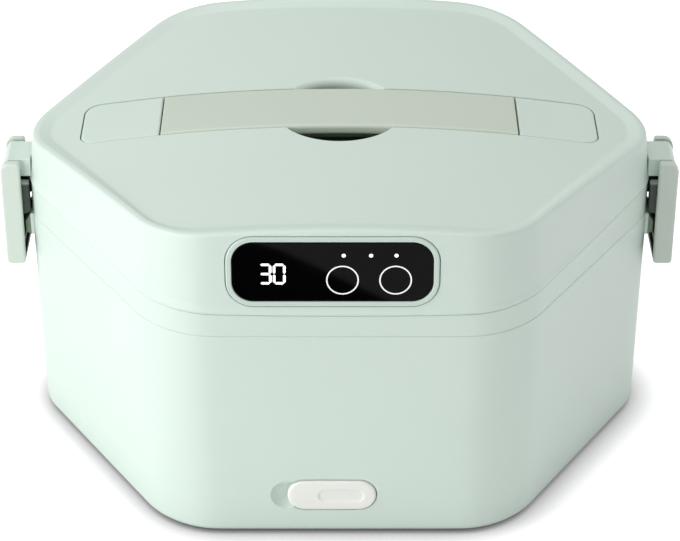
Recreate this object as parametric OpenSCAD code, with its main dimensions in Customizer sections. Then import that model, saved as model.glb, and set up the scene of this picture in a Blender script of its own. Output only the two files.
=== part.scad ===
// Electric lunch box: an eight-sided heated base, a rear-hinged lid with a display in its front,
// side latches, a lift handle sunk in the lid, and a covered inlet. Millimetres; the front is -Y.

/* [Body] */
// Width of the shell across its two side flats
body_w = 220; // [212:1:230]
// Depth of the shell across the swelled front and rear faces
body_d = 176; // [170:1:184]
// Height of the lid's rim above the table, at the middle of the front
body_h = 122; // [119:0.5:126]
// Half the length of the front face, up to where its sharp corner would be
front_half = 62; // [56:1:66]
// Half the length of a side flat, up to where its sharp corner would be
side_half = 8; // [7.6:0.1:10]
// Radius of the four front and rear corners in plan
corner_r = 30; // [28:1:34]
// Radius of the four side corners in plan
side_r = 28; // [27:0.5:28]
// How far the front and rear faces swell out in their middles
face_swell = 1.5; // [0.5:0.1:2.5]
// Wall thickness of the base shell and the lid shell
shell_wall = 2.4; // [2:0.1:3]

/* [Base] */
// Height of the base shell's top edge above the table
base_top_z = 82.5; // [80:0.5:84]
// How much narrower each side of the base is at the bottom
base_taper = 0.6; // [0:0.1:1.5]
// Radius of the base's bottom edge
base_edge_r = 2.2; // [1.5:0.1:3]
// Height that the rubber feet stand below the shell
foot_h = 1.5; // [1:0.1:2.5]
// Radius of a rubber foot
foot_r = 7; // [5:0.5:8]
// Distance of the feet from the middle, sideways
foot_x = 62; // [55:1:66]
// Distance of the feet from the middle, front to back
foot_y = 50; // [44:1:54]
// Thickness of the bottom cover
cover_t = 2.4; // [2:0.1:3]
// Gap round the bottom cover
cover_gap = 0.3; // [0.2:0.05:0.5]
// Width of the rim that the bottom cover sits inside
bottom_rim = 9; // [7:0.5:11]
// Width of the ledge above the bottom cover
ledge_w = 4.5; // [3:0.5:6]
// Diameter of the cover screws
screw_d = 3; // [2.5:0.1:3.5]
// Distance of the cover screws from the middle, sideways
cover_screw_x = 48; // [44:1:52]
// Distance of the cover screws from the middle, front to back
cover_screw_y = 72; // [70:0.5:73]
// Number of air slots in the bottom cover
slot_n = 7; // [4:1:9]

/* [Collar] */
// How far the collar between base and lid is set back
collar_inset = 0.9; // [0.6:0.1:1.4]
// Height of the deck that the heating well's flange rests on
deck_z = 88; // [87:0.5:89]
// Thickness of the collar's lip that reaches up inside the lid
lip_t = 2; // [1.6:0.1:2.4]
// How far the lip reaches above the lid's lower edge
lip_h = 1.5; // [1:0.1:1.8]
// Set-back of the collar's inner edge from the shell's face
collar_inner = 12.5; // [11.5:0.1:12.7]

/* [Lid] */
// Height of the lid's lower edge above the table, at the middle of the front
seam_z = 90.5; // [90:0.5:91]
// How much higher the lid's lower edge is at the sides
seam_rise = 4; // [2:0.5:5]
// Radius of the lid's crown, side to side
crown_r = 556; // [500:1:640]
// How much the lid's walls lean in up to the rim
lid_taper = 1.8; // [1:0.1:2.5]
// Radius of the edge round the lid's rim
rim_edge_r = 1.6; // [1.2:0.1:2.2]
// Width of the rim's flat top
rim_top_w = 1; // [0.6:0.1:1.5]
// Width of the slope from the rim down to the top panel
rim_slope_w = 4.3; // [3:0.1:5.5]
// Depth of the top panel below the rim
rim_drop = 1.3; // [0.8:0.1:1.8]
// Gap between the lid's lower edge and the collar
seam_gap = 0.4; // [0.35:0.05:0.6]

/* [Handle] */
// Length of the handle pocket in the lid
pocket_l = 181; // [174:1:184]
// Width of the handle pocket
pocket_w = 28.4; // [26:0.2:31]
// Corner radius of the handle pocket
pocket_r = 6; // [5:0.1:7]
// Height of the pocket's floor above the table
pocket_floor_z = 99.4; // [99:0.1:100.5]
// Length of the strap between the two end caps
strap_l = 124; // [116:1:130]
// Thickness of the strap
strap_t = 4; // [3:0.1:5]
// How high the handle lifts
handle_travel = 10; // [8:0.5:10.5]
// Thickness of the tongues and legs that keep the handle in the lid
tongue_t = 1.8; // [1.5:0.1:2.2]
// Length of a tongue under its end cap
tongue_l = 12; // [10:0.5:13]
// Gap round the handle and its end caps
handle_gap = 0.35; // [0.3:0.05:0.5]
// Radius of the finger scoop in front of the strap
scoop_front_r = 21.5; // [20:0.5:23]
// How far the front scoop reaches from the middle
scoop_front_reach = 24.4; // [23:0.2:25]
// Radius of the finger scoop behind the strap
scoop_rear_r = 19.2; // [18:0.2:20.4]
// How far the rear scoop reaches from the middle, up to its rounded mouth
scoop_rear_reach = 20.6; // [19:0.2:21]
// Height of the scoops' floor above the table
scoop_floor_z = 101; // [100.6:0.2:104]

/* [Display] */
// Length of the display's frame
display_w = 69.3; // [64:0.1:72]
// Height of the display's frame
display_h = 25.6; // [23:0.1:26]
// Corner radius of the display's frame
display_r = 9; // [7:0.1:10]
// Height of the display's middle above the table
display_z = 107.05; // [106.9:0.05:107.2]
// Sideways place of the display's middle
display_x = -2.2; // [-5:0.1:5]
// Width of the frame round the display window
frame_t = 1.9; // [1.5:0.1:2.4]
// Depth of the display's frame into the lid
frame_d = 3.2; // [2.8:0.1:3.6]
// Thickness of the display window
window_t = 2; // [1.5:0.1:2.4]

/* [Latches] */
// Width of a latch
latch_w = 22; // [20:0.5:24]
// Height of a latch pin above the table
latch_pin_z = 99.6; // [98.6:0.1:100.4]
// Distance of a latch pin out from the side flat
latch_pin_out = 4.4; // [4.3:0.1:5]
// Distance of a latch's outer face out from the side flat
latch_out = 9.2; // [8.8:0.1:10]
// Height of a latch's lower end above the table
latch_bottom_z = 62.8; // [60:0.2:66]
// Diameter of the latch pins and the hinge pins
pin_d = 2.5; // [2:0.1:2.8]
// Width of the lid's lug between the two slots of a latch
lug_w = 13.6; // [12:0.2:14]
// Width of each slot between the lug and the latch
lug_gap = 1.2; // [0.8:0.1:1.4]
// Height of the catch on the base above the table
catch_z = 74.5; // [73:0.1:76]
// How far the catch stands out from the base
catch_out = 2; // [1.6:0.1:2.4]
// Thickness of a latch's cheeks
latch_cheek_t = 2; // [1.6:0.1:2.6]

/* [Hinge] */
// Distance of the hinge pins behind the rear face
hinge_out = 4; // [3.9:0.1:4.5]
// Height of the hinge pins above the table
hinge_z = 88; // [87.5:0.1:88.5]
// Distance of each hinge from the middle
hinge_x = 38; // [32:0.5:42]
// Width of the lid's knuckle
knuckle_w = 14; // [10:0.5:16]
// Width of each of the base's knuckles
side_knuckle_w = 7; // [6:0.5:9]
// Outer radius of the knuckles
knuckle_r = 3.6; // [3.4:0.05:3.7]

/* [Inlet] */
// Length of the inlet's cover
inlet_w = 30.3; // [28:0.1:32]
// Height of the inlet's cover
inlet_h = 12.1; // [11:0.1:13]
// Sideways place of the inlet's middle
inlet_x = -2.6; // [-6:0.1:6]
// Height of the inlet's middle above the table
inlet_z = 17.2; // [16.5:0.1:19]
// Thickness of the inlet's cover
inlet_cover_t = 1.8; // [1.4:0.1:2.2]
// Gap round the inlet's cover
inlet_gap = 0.35; // [0.3:0.05:0.5]
// Radius of the thumb scoop beside the inlet's cover
thumb_r = 5.8; // [5:0.1:6.4]

/* [Pot] */
// Sheet thickness of the heating well
well_t = 0.8; // [0.6:0.1:1]
// Height of the heating well's floor above the table
well_z = 36; // [34:0.5:40]
// Sheet thickness of the food pot
pot_t = 0.7; // [0.5:0.1:0.9]
// Gap between the food pot and the heating well
pot_gap = 2; // [1.6:0.1:2.4]
// Height of the food pot's floor above the table
pot_z = 44; // [43:0.5:48]
// Thickness of the pot lid
pot_lid_t = 1.6; // [1.4:0.1:1.8]

/* [Fits] */
// Radial running clearance of pins in their bores
pin_fit = 0.06; // [0.03:0.01:0.1]
// Gap between pieces that lie beside each other
seat_gap = 0.1; // [0.05:0.05:0.2]
// Gap between moving pieces that pass each other
move_gap = 0.3; // [0.3:0.05:0.4]

/* [Hidden] */
$fn = 64;
eps = 0.01;
mint = [0.80, 0.87, 0.83];
olive = [0.74, 0.78, 0.71];
steel = [0.78, 0.79, 0.80];
silicone = [0.86, 0.86, 0.83];
board_green = [0.10, 0.36, 0.22];

// Everything is drawn round the middle of the body, then moved forward by half the hinge's overhang,
// so that the model stands centred on its origin
module placed() translate([0, -(hinge_out + knuckle_r) / 2, 0]) children();

// Plan of the shell: an octagon with rounded corners, given by its first quadrant
half_w = body_w / 2;
half_d = body_d / 2 - face_swell;
cham_n = [half_d - side_half, half_w - front_half] / norm([half_d - side_half, half_w - front_half]);
cham_c = cham_n * [front_half, half_d];
cham_a = atan2(cham_n.y, cham_n.x);
corner_c = [(cham_c - corner_r - cham_n.y * (half_d - corner_r)) / cham_n.x, half_d - corner_r];
side_c = [half_w - side_r, (cham_c - side_r - cham_n.x * (half_w - side_r)) / cham_n.y];
side_steps = 4;
corner_steps = 6;
cham_steps = [0.3, 0.65];
face_steps = [0.84, 0.65, 0.46, 0.28, 0.1];
swell_flat = 0.6;

// Points of the first quadrant, set in by i from the shell's face
function arc_dir(a) = [cos(a), sin(a)];
function quadrant(i) = let (
    side_arc = [for (k = [0:side_steps]) side_c + (side_r - i) * arc_dir(cham_a * k / side_steps)],
    front_arc = [for (k = [0:corner_steps]) corner_c + (corner_r - i)
        * arc_dir(cham_a + (90 - cham_a) * k / corner_steps)])
    concat(
        side_arc,
        [for (s = cham_steps) side_arc[side_steps] * (1 - s) + front_arc[0] * s],
        front_arc,
        [for (s = face_steps) [corner_c.x * s, half_d - i]]);
function reversed(list) = [for (k = [len(list) - 1:-1:0]) list[k]];

// The front and rear faces are flat in the middle and fall back smoothly towards the corners
swell_from = front_half * swell_flat;
swell_to = front_half + 8;
function swell(x) = face_swell * (x < swell_from ? 1 : x > swell_to ? 0
    : pow(cos(90 * (x - swell_from) / (swell_to - swell_from)), 2));
function swelled(p) = [p.x, p.y + sign(p.y) * swell(abs(p.x))];

// One closed ring of the outline, counter-clockwise from the middle of the right side
function outline(i) = let (q = quadrant(i)) [for (p = concat(
    q,
    [for (p = reversed(q)) [-p.x, p.y]],
    [for (p = q) [-p.x, -p.y]],
    [for (p = reversed(q)) [p.x, -p.y]])) swelled(p)];

// A ring set in by i at height z, bent by bend * x * x
function ring(i, z, bend = 0) = [for (p = outline(i)) [p.x, p.y, z + bend * p.x * p.x]];
crown_bend = -1 / (2 * crown_r);
seam_bend = seam_rise / (half_w * half_w);
function crown_z(x, below = 0) = body_h - below + crown_bend * x * x;
function lid_inset(z) = lid_taper * (z - seam_z) / (body_h - rim_edge_r - seam_z);

// A solid through a stack of rings; its ends are strips across the depth, so they may be bent
module loft(rings) {
    n = len(rings[0]);
    top = (len(rings) - 1) * n;
    sides = [for (r = [0:len(rings) - 2], j = [0:n - 1], half = [0, 1])
        let (a = r * n + j, b = r * n + (j + 1) % n)
        half == 0 ? [a, a + n, b + n] : [a, b + n, b]];
    strips = [for (j = [0:n / 2 - 2], half = [0, 1])
        half == 0 ? [j, j + 1, n - j - 1] : [j + 1, n - j - 2, n - j - 1]];
    caps = concat(strips, [for (f = strips) [for (v = reversed(f)) v + top]]);
    polyhedron([for (r = rings, p = r) p], concat(sides, caps), convexity = 6);
}

// The same outline as true arcs and straight sides, without the swell, for the pieces inside;
// the arcs stand a hair proud of the sides so that each crosses its side at a clear point
arc_proud = 0.004;
module plan(i) {
    tangents = concat(
        [[half_w - i, side_c.y], side_c + (side_r - i) * cham_n, corner_c + (corner_r - i) * cham_n],
        [[corner_c.x, half_d - i]]);
    polygon(concat(
        tangents,
        [for (p = reversed(tangents)) [-p.x, p.y]],
        [for (p = tangents) [-p.x, -p.y]],
        [for (p = reversed(tangents)) [p.x, -p.y]]));
    for (sx = [-1, 1], sy = [-1, 1]) {
        translate([sx * corner_c.x, sy * corner_c.y]) circle(r = corner_r - i + arc_proud);
        translate([sx * side_c.x, sy * side_c.y]) circle(r = side_r - i + arc_proud);
    }
}

module plan_slab(i, z, h) translate([0, 0, z]) linear_extrude(height = h) plan(i);

module plan_ring(outer, inner, z, h) difference() {
    plan_slab(outer, z, h);
    plan_slab(inner, z - eps, h + 2 * eps);
}

// A rectangle with true round corners
module rounded(w, h, r) {
    square([w - 2 * r, h], center = true);
    square([w, h - 2 * r], center = true);
    for (sx = [-1, 1], sy = [-1, 1]) translate([sx * (w / 2 - r), sy * (h / 2 - r)]) circle(r = r);
}

module rounded_slab(w, h, r, z0, z1)
    translate([0, 0, z0]) linear_extrude(height = z1 - z0) rounded(w, h, r);

// Whatever is drawn for the right side, on the side given by 1 or -1
module sided(s) mirror([s < 0 ? 1 : 0, 0, 0]) children();

// The same, measured out from that side's flat
module on_side(s) sided(s) translate([half_w, 0, 0]) children();

module in_four(x, y) for (sx = [-1, 1], sy = [-1, 1]) translate([sx * x, sy * y, 0]) children();

module along_x(x0, x1)
    translate([x0, 0, 0]) rotate([90, 0, 90]) linear_extrude(height = x1 - x0) children();

module along_y(y0, y1) translate([0, y1, 0]) rotate([90, 0, 0]) linear_extrude(height = y1 - y0) children();

// Base shell
shell_z = foot_h;
cover_top_z = shell_z + cover_t;
ledge_top_z = cover_top_z + 2.5;
cover_boss_top_z = 16;
boss_r = screw_d / 2 + 2.2;
thumb_sphere_r = 8;
thumb_drop = sqrt(thumb_sphere_r * thumb_sphere_r - thumb_r * thumb_r);
function base_inset(z) = base_taper * (base_top_z - z) / (base_top_z - shell_z);
front_y = -body_d / 2;
inlet_face_y = front_y + base_inset(inlet_z);
inlet_pad_t = 6.5;
cover_proud = 0.5;
socket_w = 17;
socket_h = 9.4;

module base_outer() loft([
    ring(base_taper + base_edge_r, shell_z),
    ring(base_taper + 0.3 * base_edge_r, shell_z + 0.3 * base_edge_r),
    ring(base_inset(shell_z + base_edge_r), shell_z + base_edge_r),
    ring(0, base_top_z - 0.5),
    ring(0.3, base_top_z)]);

module base_shell() placed() color(mint) difference() {
    union() {
        difference() {
            base_outer();
            loft([ring(shell_wall + base_taper, ledge_top_z), ring(shell_wall, base_top_z + 1)]);
        }
        in_four(cover_screw_x, cover_screw_y) translate([0, 0, cover_top_z])
            cylinder(r = boss_r, h = cover_boss_top_z - cover_top_z);
        inlet_pad();
        for (s = [-1, 1]) on_side(s) translate([0, 0, catch_z]) latch_catch();
        for (s = [-1, 1], k = [-1, 1])
            translate([s * hinge_x + k * (knuckle_w + side_knuckle_w + 2 * move_gap) / 2, 0, 0])
            base_knuckle();
    }
    plan_slab(bottom_rim - cover_gap, shell_z - 1, cover_t + 1 + seat_gap / 2);
    difference() {
        plan_slab(bottom_rim + ledge_w, shell_z - 1, ledge_top_z - shell_z + 1 + eps);
        in_four(cover_screw_x, cover_screw_y) cylinder(r = boss_r, h = ledge_top_z + 1);
    }
    in_four(cover_screw_x, cover_screw_y) translate([0, 0, shell_z])
        cylinder(d = screw_d, h = cover_boss_top_z - shell_z - 2);
    translate([inlet_x, inlet_face_y, inlet_z]) inlet_cuts();
    for (s = [-1, 1]) hinge_bore(s, 0);
}

module inlet_pad() intersection() {
    translate([inlet_x, inlet_face_y + shell_wall / 2 + inlet_pad_t / 2, inlet_z])
        cube([inlet_w + 4 * thumb_r, inlet_pad_t, inlet_h + 7], center = true);
    plan_slab(1, ledge_top_z - 1, 40);
}

module inlet_cuts() {
    rotate([90, 0, 0]) {
        translate([0, 0, -inlet_cover_t - move_gap]) linear_extrude(height = 10)
            rounded(inlet_w + 2 * inlet_gap, inlet_h + 2 * inlet_gap, inlet_h / 2 + inlet_gap - eps);
        translate([0, 0, -15]) linear_extrude(height = 20) rounded(socket_w, socket_h, socket_h / 2 - eps);
    }
    translate([-inlet_w / 2, -thumb_drop, 0]) sphere(r = thumb_sphere_r);
}

module latch_catch() along_y(-catch_w / 2, catch_w / 2) polygon([
    [-1.2, -1], [0, -1], [catch_out, 0], [catch_out, 2], [0, 4.5], [-1.2, 4.5]]);
catch_w = latch_w - 2 * (latch_cheek_t + 1);

rear_y = body_d / 2;
hinge_y = rear_y + hinge_out;
web_sink = 1.2;
web_foot = 16;
module base_knuckle() along_x(-side_knuckle_w / 2, side_knuckle_w / 2) {
    translate([hinge_y, hinge_z]) circle(r = knuckle_r);
    polygon([
        [rear_y - web_sink, base_top_z - web_foot],
        [rear_y, base_top_z - web_foot],
        [hinge_y + knuckle_r, hinge_z - 1],
        [hinge_y + knuckle_r, hinge_z],
        [hinge_y, hinge_z],
        [rear_y - 0.4, base_top_z - 0.6],
        [rear_y - web_sink, base_top_z - 0.6]]);
}

module hinge_bore(side, fit) translate([side * hinge_x, hinge_y, hinge_z]) rotate([0, 90, 0])
    cylinder(d = pin_d + 2 * fit, h = hinge_pin_l + 2, center = true);
hinge_pin_l = knuckle_w + 2 * side_knuckle_w + 2 * move_gap;

// Bottom cover, feet and screws
slot_w = 3;
slot_l = 34;
slot_pitch = 8;
board_w = 64;
board_d = 44;
board_z = 13;
board_y = -34;
post_r = 2.6;

module bottom_cover() placed() color([0.62, 0.68, 0.65]) difference() {
    union() {
        plan_slab(bottom_rim, shell_z, cover_t);
        translate([0, board_y, cover_top_z - eps]) in_four(board_w / 2 - 4, board_d / 2 - 4)
            cylinder(r = post_r, h = board_z - cover_top_z + eps);
    }
    in_four(foot_x, foot_y) translate([0, 0, shell_z - 1]) cylinder(r = foot_r + seat_gap, h = 2);
    in_four(cover_screw_x, cover_screw_y) {
        translate([0, 0, shell_z - 1]) cylinder(d = screw_d + 2 * seat_gap, h = cover_t + 2);
        translate([0, 0, shell_z - 1]) cylinder(d = 2 * screw_d + 2 * seat_gap, h = 2.2);
    }
    for (k = [0:slot_n - 1]) translate([(k - (slot_n - 1) / 2) * slot_pitch, 30, shell_z - 1])
        linear_extrude(height = cover_t + 2) rounded(slot_w, slot_l, slot_w / 2 - eps);
}

module rubber_feet() placed() color([0.25, 0.26, 0.26]) in_four(foot_x, foot_y) rotate_extrude() polygon([
    [0, 0], [foot_r - 0.8, 0], [foot_r, 0.8], [foot_r, foot_h + 1], [0, foot_h + 1]]);

module screw(length, head_r, head_h) rotate_extrude() polygon([
    [0, -head_h], [head_r * 0.8, -head_h], [head_r, -head_h / 2], [head_r, 0], [screw_d / 2, 0],
    [screw_d / 2, length - 1], [0, length]]);

module cover_screws() placed() color(steel) in_four(cover_screw_x, cover_screw_y)
    translate([0, 0, shell_z + 1.2]) difference() {
        screw(cover_boss_top_z - shell_z - 4, screw_d, 1.1);
        translate([0, 0, -1.2]) cylinder(r = 0.9, h = 0.8, $fn = 6);
    }

// Collar that carries the heating well and reaches up inside the lid
collar_plug_h = 4.5;
module base_collar() placed() color(mint) difference() {
    union() {
        loft([ring(collar_inset, base_top_z), ring(collar_inset, seam_z - seam_gap, seam_bend)]);
        loft([ring(shell_wall + seat_gap, base_top_z - collar_plug_h),
            ring(shell_wall + seat_gap, base_top_z + 1)]);
        loft([ring(lip_in, base_top_z), ring(lip_in, seam_z + lip_h - 0.6, seam_bend),
            ring(lip_in + 0.6, seam_z + lip_h, seam_bend)]);
    }
    plan_slab(lip_in + lip_t, deck_z, 20);
    plan_slab(collar_inner, base_top_z - 10, 30);
    difference() {
        plan_slab(shell_wall + 2.2, base_top_z - 10, deck_z - 2.5 - base_top_z + 10);
        plan_slab(collar_inner - 2, base_top_z - 10, 20);
    }
}
lip_in = shell_wall + 2 * move_gap;

// Heating well and what lies round and under it
well_in = collar_inner + 0.3;
well_flange_in = lip_in + lip_t + 0.6;
module heating_well() placed() color(steel) difference() {
    union() {
        plan_slab(well_in, well_z, deck_z - well_z + eps);
        plan_slab(well_flange_in, deck_z, well_t);
    }
    plan_slab(well_in + well_t, well_z + well_t, body_h);
}

blanket_t = 2.6;
blanket_foot = 6;
blanket_short = 8;
module insulation_blanket() placed() color([0.90, 0.88, 0.80])
    plan_ring(well_in - seat_gap - blanket_t, well_in - seat_gap,
        well_z + blanket_foot, base_top_z - collar_plug_h - well_z - blanket_short);

plate_r = 54;
plate_t = 3;
heater_r = 40;
heater_tube_r = 2.8;
module heating_plate() placed() color([0.70, 0.71, 0.72]) translate([0, 0, well_z - seat_gap])
    rotate_extrude($fn = 96) {
        translate([0, -plate_t]) square([plate_r, plate_t]);
        translate([heater_r, -plate_t]) circle(r = heater_tube_r);
    }

thermostat_r = 8;
thermostat_flange_t = 2.5;
thermostat_step = 1.5;
thermostat_h = 8;
module thermostat() placed() color([0.85, 0.84, 0.80])
    translate([0, 0, well_z - plate_t - 2 * seat_gap])
    rotate_extrude() polygon([
        [0, 0],
        [thermostat_r, 0],
        [thermostat_r, -thermostat_flange_t],
        [thermostat_r - thermostat_step, -thermostat_flange_t],
        [thermostat_r - thermostat_step, -thermostat_h],
        [0, -thermostat_h]]);

fuse_r = 2;
fuse_l = 12;
fuse_x = 22;
fuse_lead_r = 0.5;
fuse_lead_l = 6;
module thermal_fuse() placed() color([0.75, 0.68, 0.45])
    translate([fuse_x, 0, well_z - plate_t - 2 * seat_gap - fuse_r]) rotate([90, 0, 0]) {
        cylinder(r = fuse_r, h = fuse_l, center = true);
        cylinder(r = fuse_lead_r, h = fuse_l + 2 * fuse_lead_l, center = true);
    }

// Power board with its parts, and the inlet
pcb_t = 1.6;
relay_at = [-18, 4];
relay_size = [18, 15];
relay_h = 13;
capacitor_at = [6, 6];
capacitor_r = 5;
capacitor_h = 13;
terminal_at = [20, -6];
terminal_size = [10, 16];
terminal_h = 9;
module on_board(at) translate([at[0], at[1], pcb_t - eps]) children();
module power_board() placed() translate([0, board_y, board_z]) {
    color(board_green) linear_extrude(height = pcb_t) square([board_w, board_d], center = true);
    color([0.15, 0.15, 0.16]) on_board(relay_at)
        linear_extrude(height = relay_h) square(relay_size, center = true);
    color([0.10, 0.20, 0.50]) on_board(capacitor_at) cylinder(r = capacitor_r, h = capacitor_h);
    color([0.85, 0.85, 0.80]) on_board(terminal_at)
        linear_extrude(height = terminal_h) square(terminal_size, center = true);
}

inlet_body_w = 21;
inlet_body_h = 13;
inlet_body_d = 12;
inlet_back_y = front_y + base_taper + shell_wall / 2 + inlet_pad_t + seat_gap;
module power_inlet() placed() translate([inlet_x, inlet_face_y, inlet_z]) {
    color([0.12, 0.12, 0.13]) difference() {
        union() {
            translate([0, inlet_back_y - inlet_face_y + inlet_body_d / 2, 0])
                cube([inlet_body_w, inlet_body_d, inlet_body_h], center = true);
            rotate([90, 0, 0]) translate([0, 0, -10]) linear_extrude(height = 7)
                rounded(socket_w - 2 * seat_gap, socket_h - 2 * seat_gap, socket_h / 2 - seat_gap - eps);
        }
        rotate([90, 0, 0]) translate([0, 0, -15]) linear_extrude(height = 14) rounded(14.6, 7.6, 3.75);
    }
    color(steel) for (s = [-1, 1]) translate([s * 4.3, 7, 0]) rotate([-90, 0, 0]) cylinder(r = 1.2, h = 9);
}

// A soft flap that bends on the upright line at the right end of its front face
module inlet_cover() placed() color([0.93, 0.92, 0.90])
    translate([inlet_x, inlet_face_y, inlet_z]) rotate([90, 0, 0])
    difference() {
        union() {
            translate([0, 0, -inlet_cover_t]) linear_extrude(height = inlet_cover_t + cover_proud - 0.4)
                rounded(inlet_w, inlet_h, inlet_h / 2 - eps);
            translate([0, 0, -inlet_cover_t]) linear_extrude(height = inlet_cover_t + cover_proud)
                rounded(inlet_w - 0.8, inlet_h - 0.8, inlet_h / 2 - 0.4 - eps);
        }
        translate([1.9, 0, cover_proud - 0.6]) linear_extrude(height = 1) rounded(16.4, 5.4, 2.6);
    }

// Food pot with its lid, seal and steam plug
pot_in = well_in + well_t + pot_gap;
pot_flange_in = well_flange_in + 3.4;
pot_flange_z = deck_z + well_t;
module food_pot() placed() color(steel) difference() {
    union() {
        plan_slab(pot_in, pot_z, pot_flange_z - pot_z + eps);
        plan_slab(pot_flange_in, pot_flange_z, pot_t);
    }
    plan_slab(pot_in + pot_t, pot_z + pot_t, body_h);
}

pot_lid_z = pot_flange_z + pot_t + 1.6;
seal_t = 0.8;
plug_in = pot_in + pot_t + seat_gap + seal_t;
plug_h = 3.4;
seal_groove = 0.7;
seal_h = 1.8;
seal_z = pot_flange_z - plug_h + 0.6;
vent_x = 46;
vent_r = 3;
module pot_lid() placed() color([0.90, 0.93, 0.91]) difference() {
    union() {
        plan_slab(pot_flange_in + 0.3, pot_flange_z + pot_t, pot_lid_z + pot_lid_t - pot_flange_z - pot_t);
        plan_slab(plug_in, pot_flange_z - plug_h, plug_h + pot_t + eps);
    }
    plan_slab(plug_in + 2, pot_flange_z - plug_h - 1, pot_lid_z - pot_flange_z + plug_h + 1);
    plan_ring(pot_flange_in + 2.3, plug_in - 0.6, pot_flange_z + pot_t - 1, 1 + 1.6);
    plan_ring(plug_in - 1, plug_in + seal_groove, seal_z, seal_h);
    translate([vent_x, 0, pot_lid_z - 1]) cylinder(r = vent_r, h = pot_lid_t + 2);
}

module pot_seal() placed() color(silicone)
    plan_ring(plug_in - seal_t, plug_in + seal_groove - seat_gap, seal_z, seal_h);

module vent_plug() placed() color(silicone) translate([vent_x, 0, pot_lid_z]) rotate_extrude() polygon([
    [0, -1], [vent_r + 0.8, -1], [vent_r + 0.8, -seat_gap], [vent_r - seat_gap, -seat_gap],
    [vent_r - seat_gap, pot_lid_t + seat_gap], [vent_r + 1.2, pot_lid_t + seat_gap],
    [vent_r + 0.6, pot_lid_t + 0.7], [0, pot_lid_t + 0.7]]);

// Lid shell
rim_in = lid_taper + rim_edge_r;
module lid_outer() loft([
    ring(0.5, seam_z, seam_bend),
    ring(0, seam_z + 0.8, seam_bend),
    ring(lid_taper, body_h - rim_edge_r, crown_bend),
    ring(lid_taper + 0.14 * rim_edge_r, body_h - 0.5 * rim_edge_r, crown_bend),
    ring(lid_taper + 0.5 * rim_edge_r, body_h - 0.14 * rim_edge_r, crown_bend),
    ring(rim_in, body_h, crown_bend),
    ring(rim_in + rim_top_w, body_h, crown_bend),
    ring(rim_in + rim_top_w + rim_slope_w, body_h - rim_drop, crown_bend)]);

skin_below = rim_drop + shell_wall;
module lid_inner() loft([
    ring(shell_wall, seam_z - 1, seam_bend),
    ring(shell_wall + lid_taper, body_h - rim_edge_r - shell_wall, crown_bend),
    ring(shell_wall + rim_in + rim_top_w, body_h - skin_below, crown_bend)]);

// Everything under the crowned surface that lies below the rim by the given depth
module under_crown(below, half_len, z0) along_y(-half_d, half_d) intersection() {
    translate([0, body_h - below - crown_r]) circle(r = crown_r, $fn = 720);
    translate([-half_len, z0]) square([2 * half_len, body_h]);
}

// The finger scoop is two round bowls, one in front of the strap and one behind it
scoop_front_edge_r = 0.6;
scoop_rear_edge_r = 3.2;
module front_scoop() translate([0, scoop_front_r - scoop_front_reach, 0]) children();
module rear_scoop() translate([0, scoop_rear_reach - scoop_rear_r, 0]) children();
module scoop_bowl(r, edge_r) {
    edge_z = body_h - rim_drop - edge_r + 0.2;
    rotate_extrude($fn = 128) difference() {
        translate([0, scoop_floor_z]) square([r + edge_r, body_h + 5 - scoop_floor_z]);
        translate([r, scoop_floor_z - 1]) square([edge_r + 1, edge_z - scoop_floor_z + 1]);
        translate([r + edge_r, edge_z]) circle(r = edge_r);
    }
}

module scoop_block(r) translate([0, 0, scoop_floor_z - 2]) cylinder(r = r + shell_wall, h = body_h);

display_face_y = front_y + lid_inset(display_z);
display_tilt = atan(lid_taper / (body_h - rim_edge_r - seam_z));
module on_front()
    translate([display_x, display_face_y, display_z]) rotate([90 - display_tilt, 0, 0]) children();

window_w = display_w - 2 * frame_t;
window_h = display_h - 2 * frame_t;
window_r = display_r - frame_t;
pad_back = 2;
display_gap = 0.25;
display_proud = 0.2;

lid_boss_r = 3.6;
lid_screw_pos = [[50, 60], [86, 24]];
module at_lid_screws() for (p = lid_screw_pos) in_four(p.x, p.y) children();

panel_in = lip_in + lip_t + 1.2;
panel_z = 94.6;
panel_t = 1.8;
panel_top_z = panel_z + panel_t;

module lid_shell() placed() color(mint) difference() {
    union() {
        difference() {
            lid_outer();
            lid_inner();
        }
        intersection() {
            rounded_slab(pocket_l + 2 * shell_wall, pocket_w + 2 * shell_wall, pocket_r + shell_wall,
                pocket_floor_z - 2, body_h);
            under_crown(rim_drop + shell_wall / 2, pocket_l, pocket_floor_z - 2);
        }
        intersection() {
            union() {
                front_scoop() scoop_block(scoop_front_r);
                rear_scoop() scoop_block(scoop_rear_r);
            }
            under_crown(rim_drop + shell_wall / 2, pocket_l, scoop_floor_z - 2);
        }
        on_front() translate([0, 0, -frame_d - pad_back]) linear_extrude(height = frame_d + pad_back - 1)
            rounded(display_w + 3.4, display_h + 1.6, display_r + 0.8);
        for (p = lid_screw_pos) in_four(p.x, p.y) translate([0, 0, panel_top_z])
            cylinder(r = lid_boss_r, h = crown_z(p.x, rim_drop + shell_wall / 2) - panel_top_z);
        for (s = [-1, 1]) on_side(s) latch_lug();
        for (s = [-1, 1]) translate([s * hinge_x, 0, 0]) lid_knuckle();
    }
    rounded_slab(pocket_l, pocket_w, pocket_r, pocket_floor_z, body_h + 5);
    front_scoop() scoop_bowl(scoop_front_r, scoop_front_edge_r);
    rear_scoop() scoop_bowl(scoop_rear_r, scoop_rear_edge_r);
    on_front() {
        translate([0, 0, -frame_d - 0.2]) linear_extrude(height = 10)
            rounded(display_w + 2 * display_gap, display_h + 2 * display_gap, display_r + display_gap);
        translate([0, 0, -frame_d - 4]) linear_extrude(height = 8)
            rounded(window_w - 6, window_h - 6, 2);
    }
    at_lid_screws() translate([0, 0, panel_z]) cylinder(d = screw_d, h = 9);
    for (s = [-1, 1]) {
        hinge_bore(s, pin_fit);
        translate([s * (half_w + latch_pin_out), 0, latch_pin_z]) rotate([90, 0, 0])
            cylinder(d = pin_d, h = lug_w + 2, center = true);
    }
}

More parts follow.
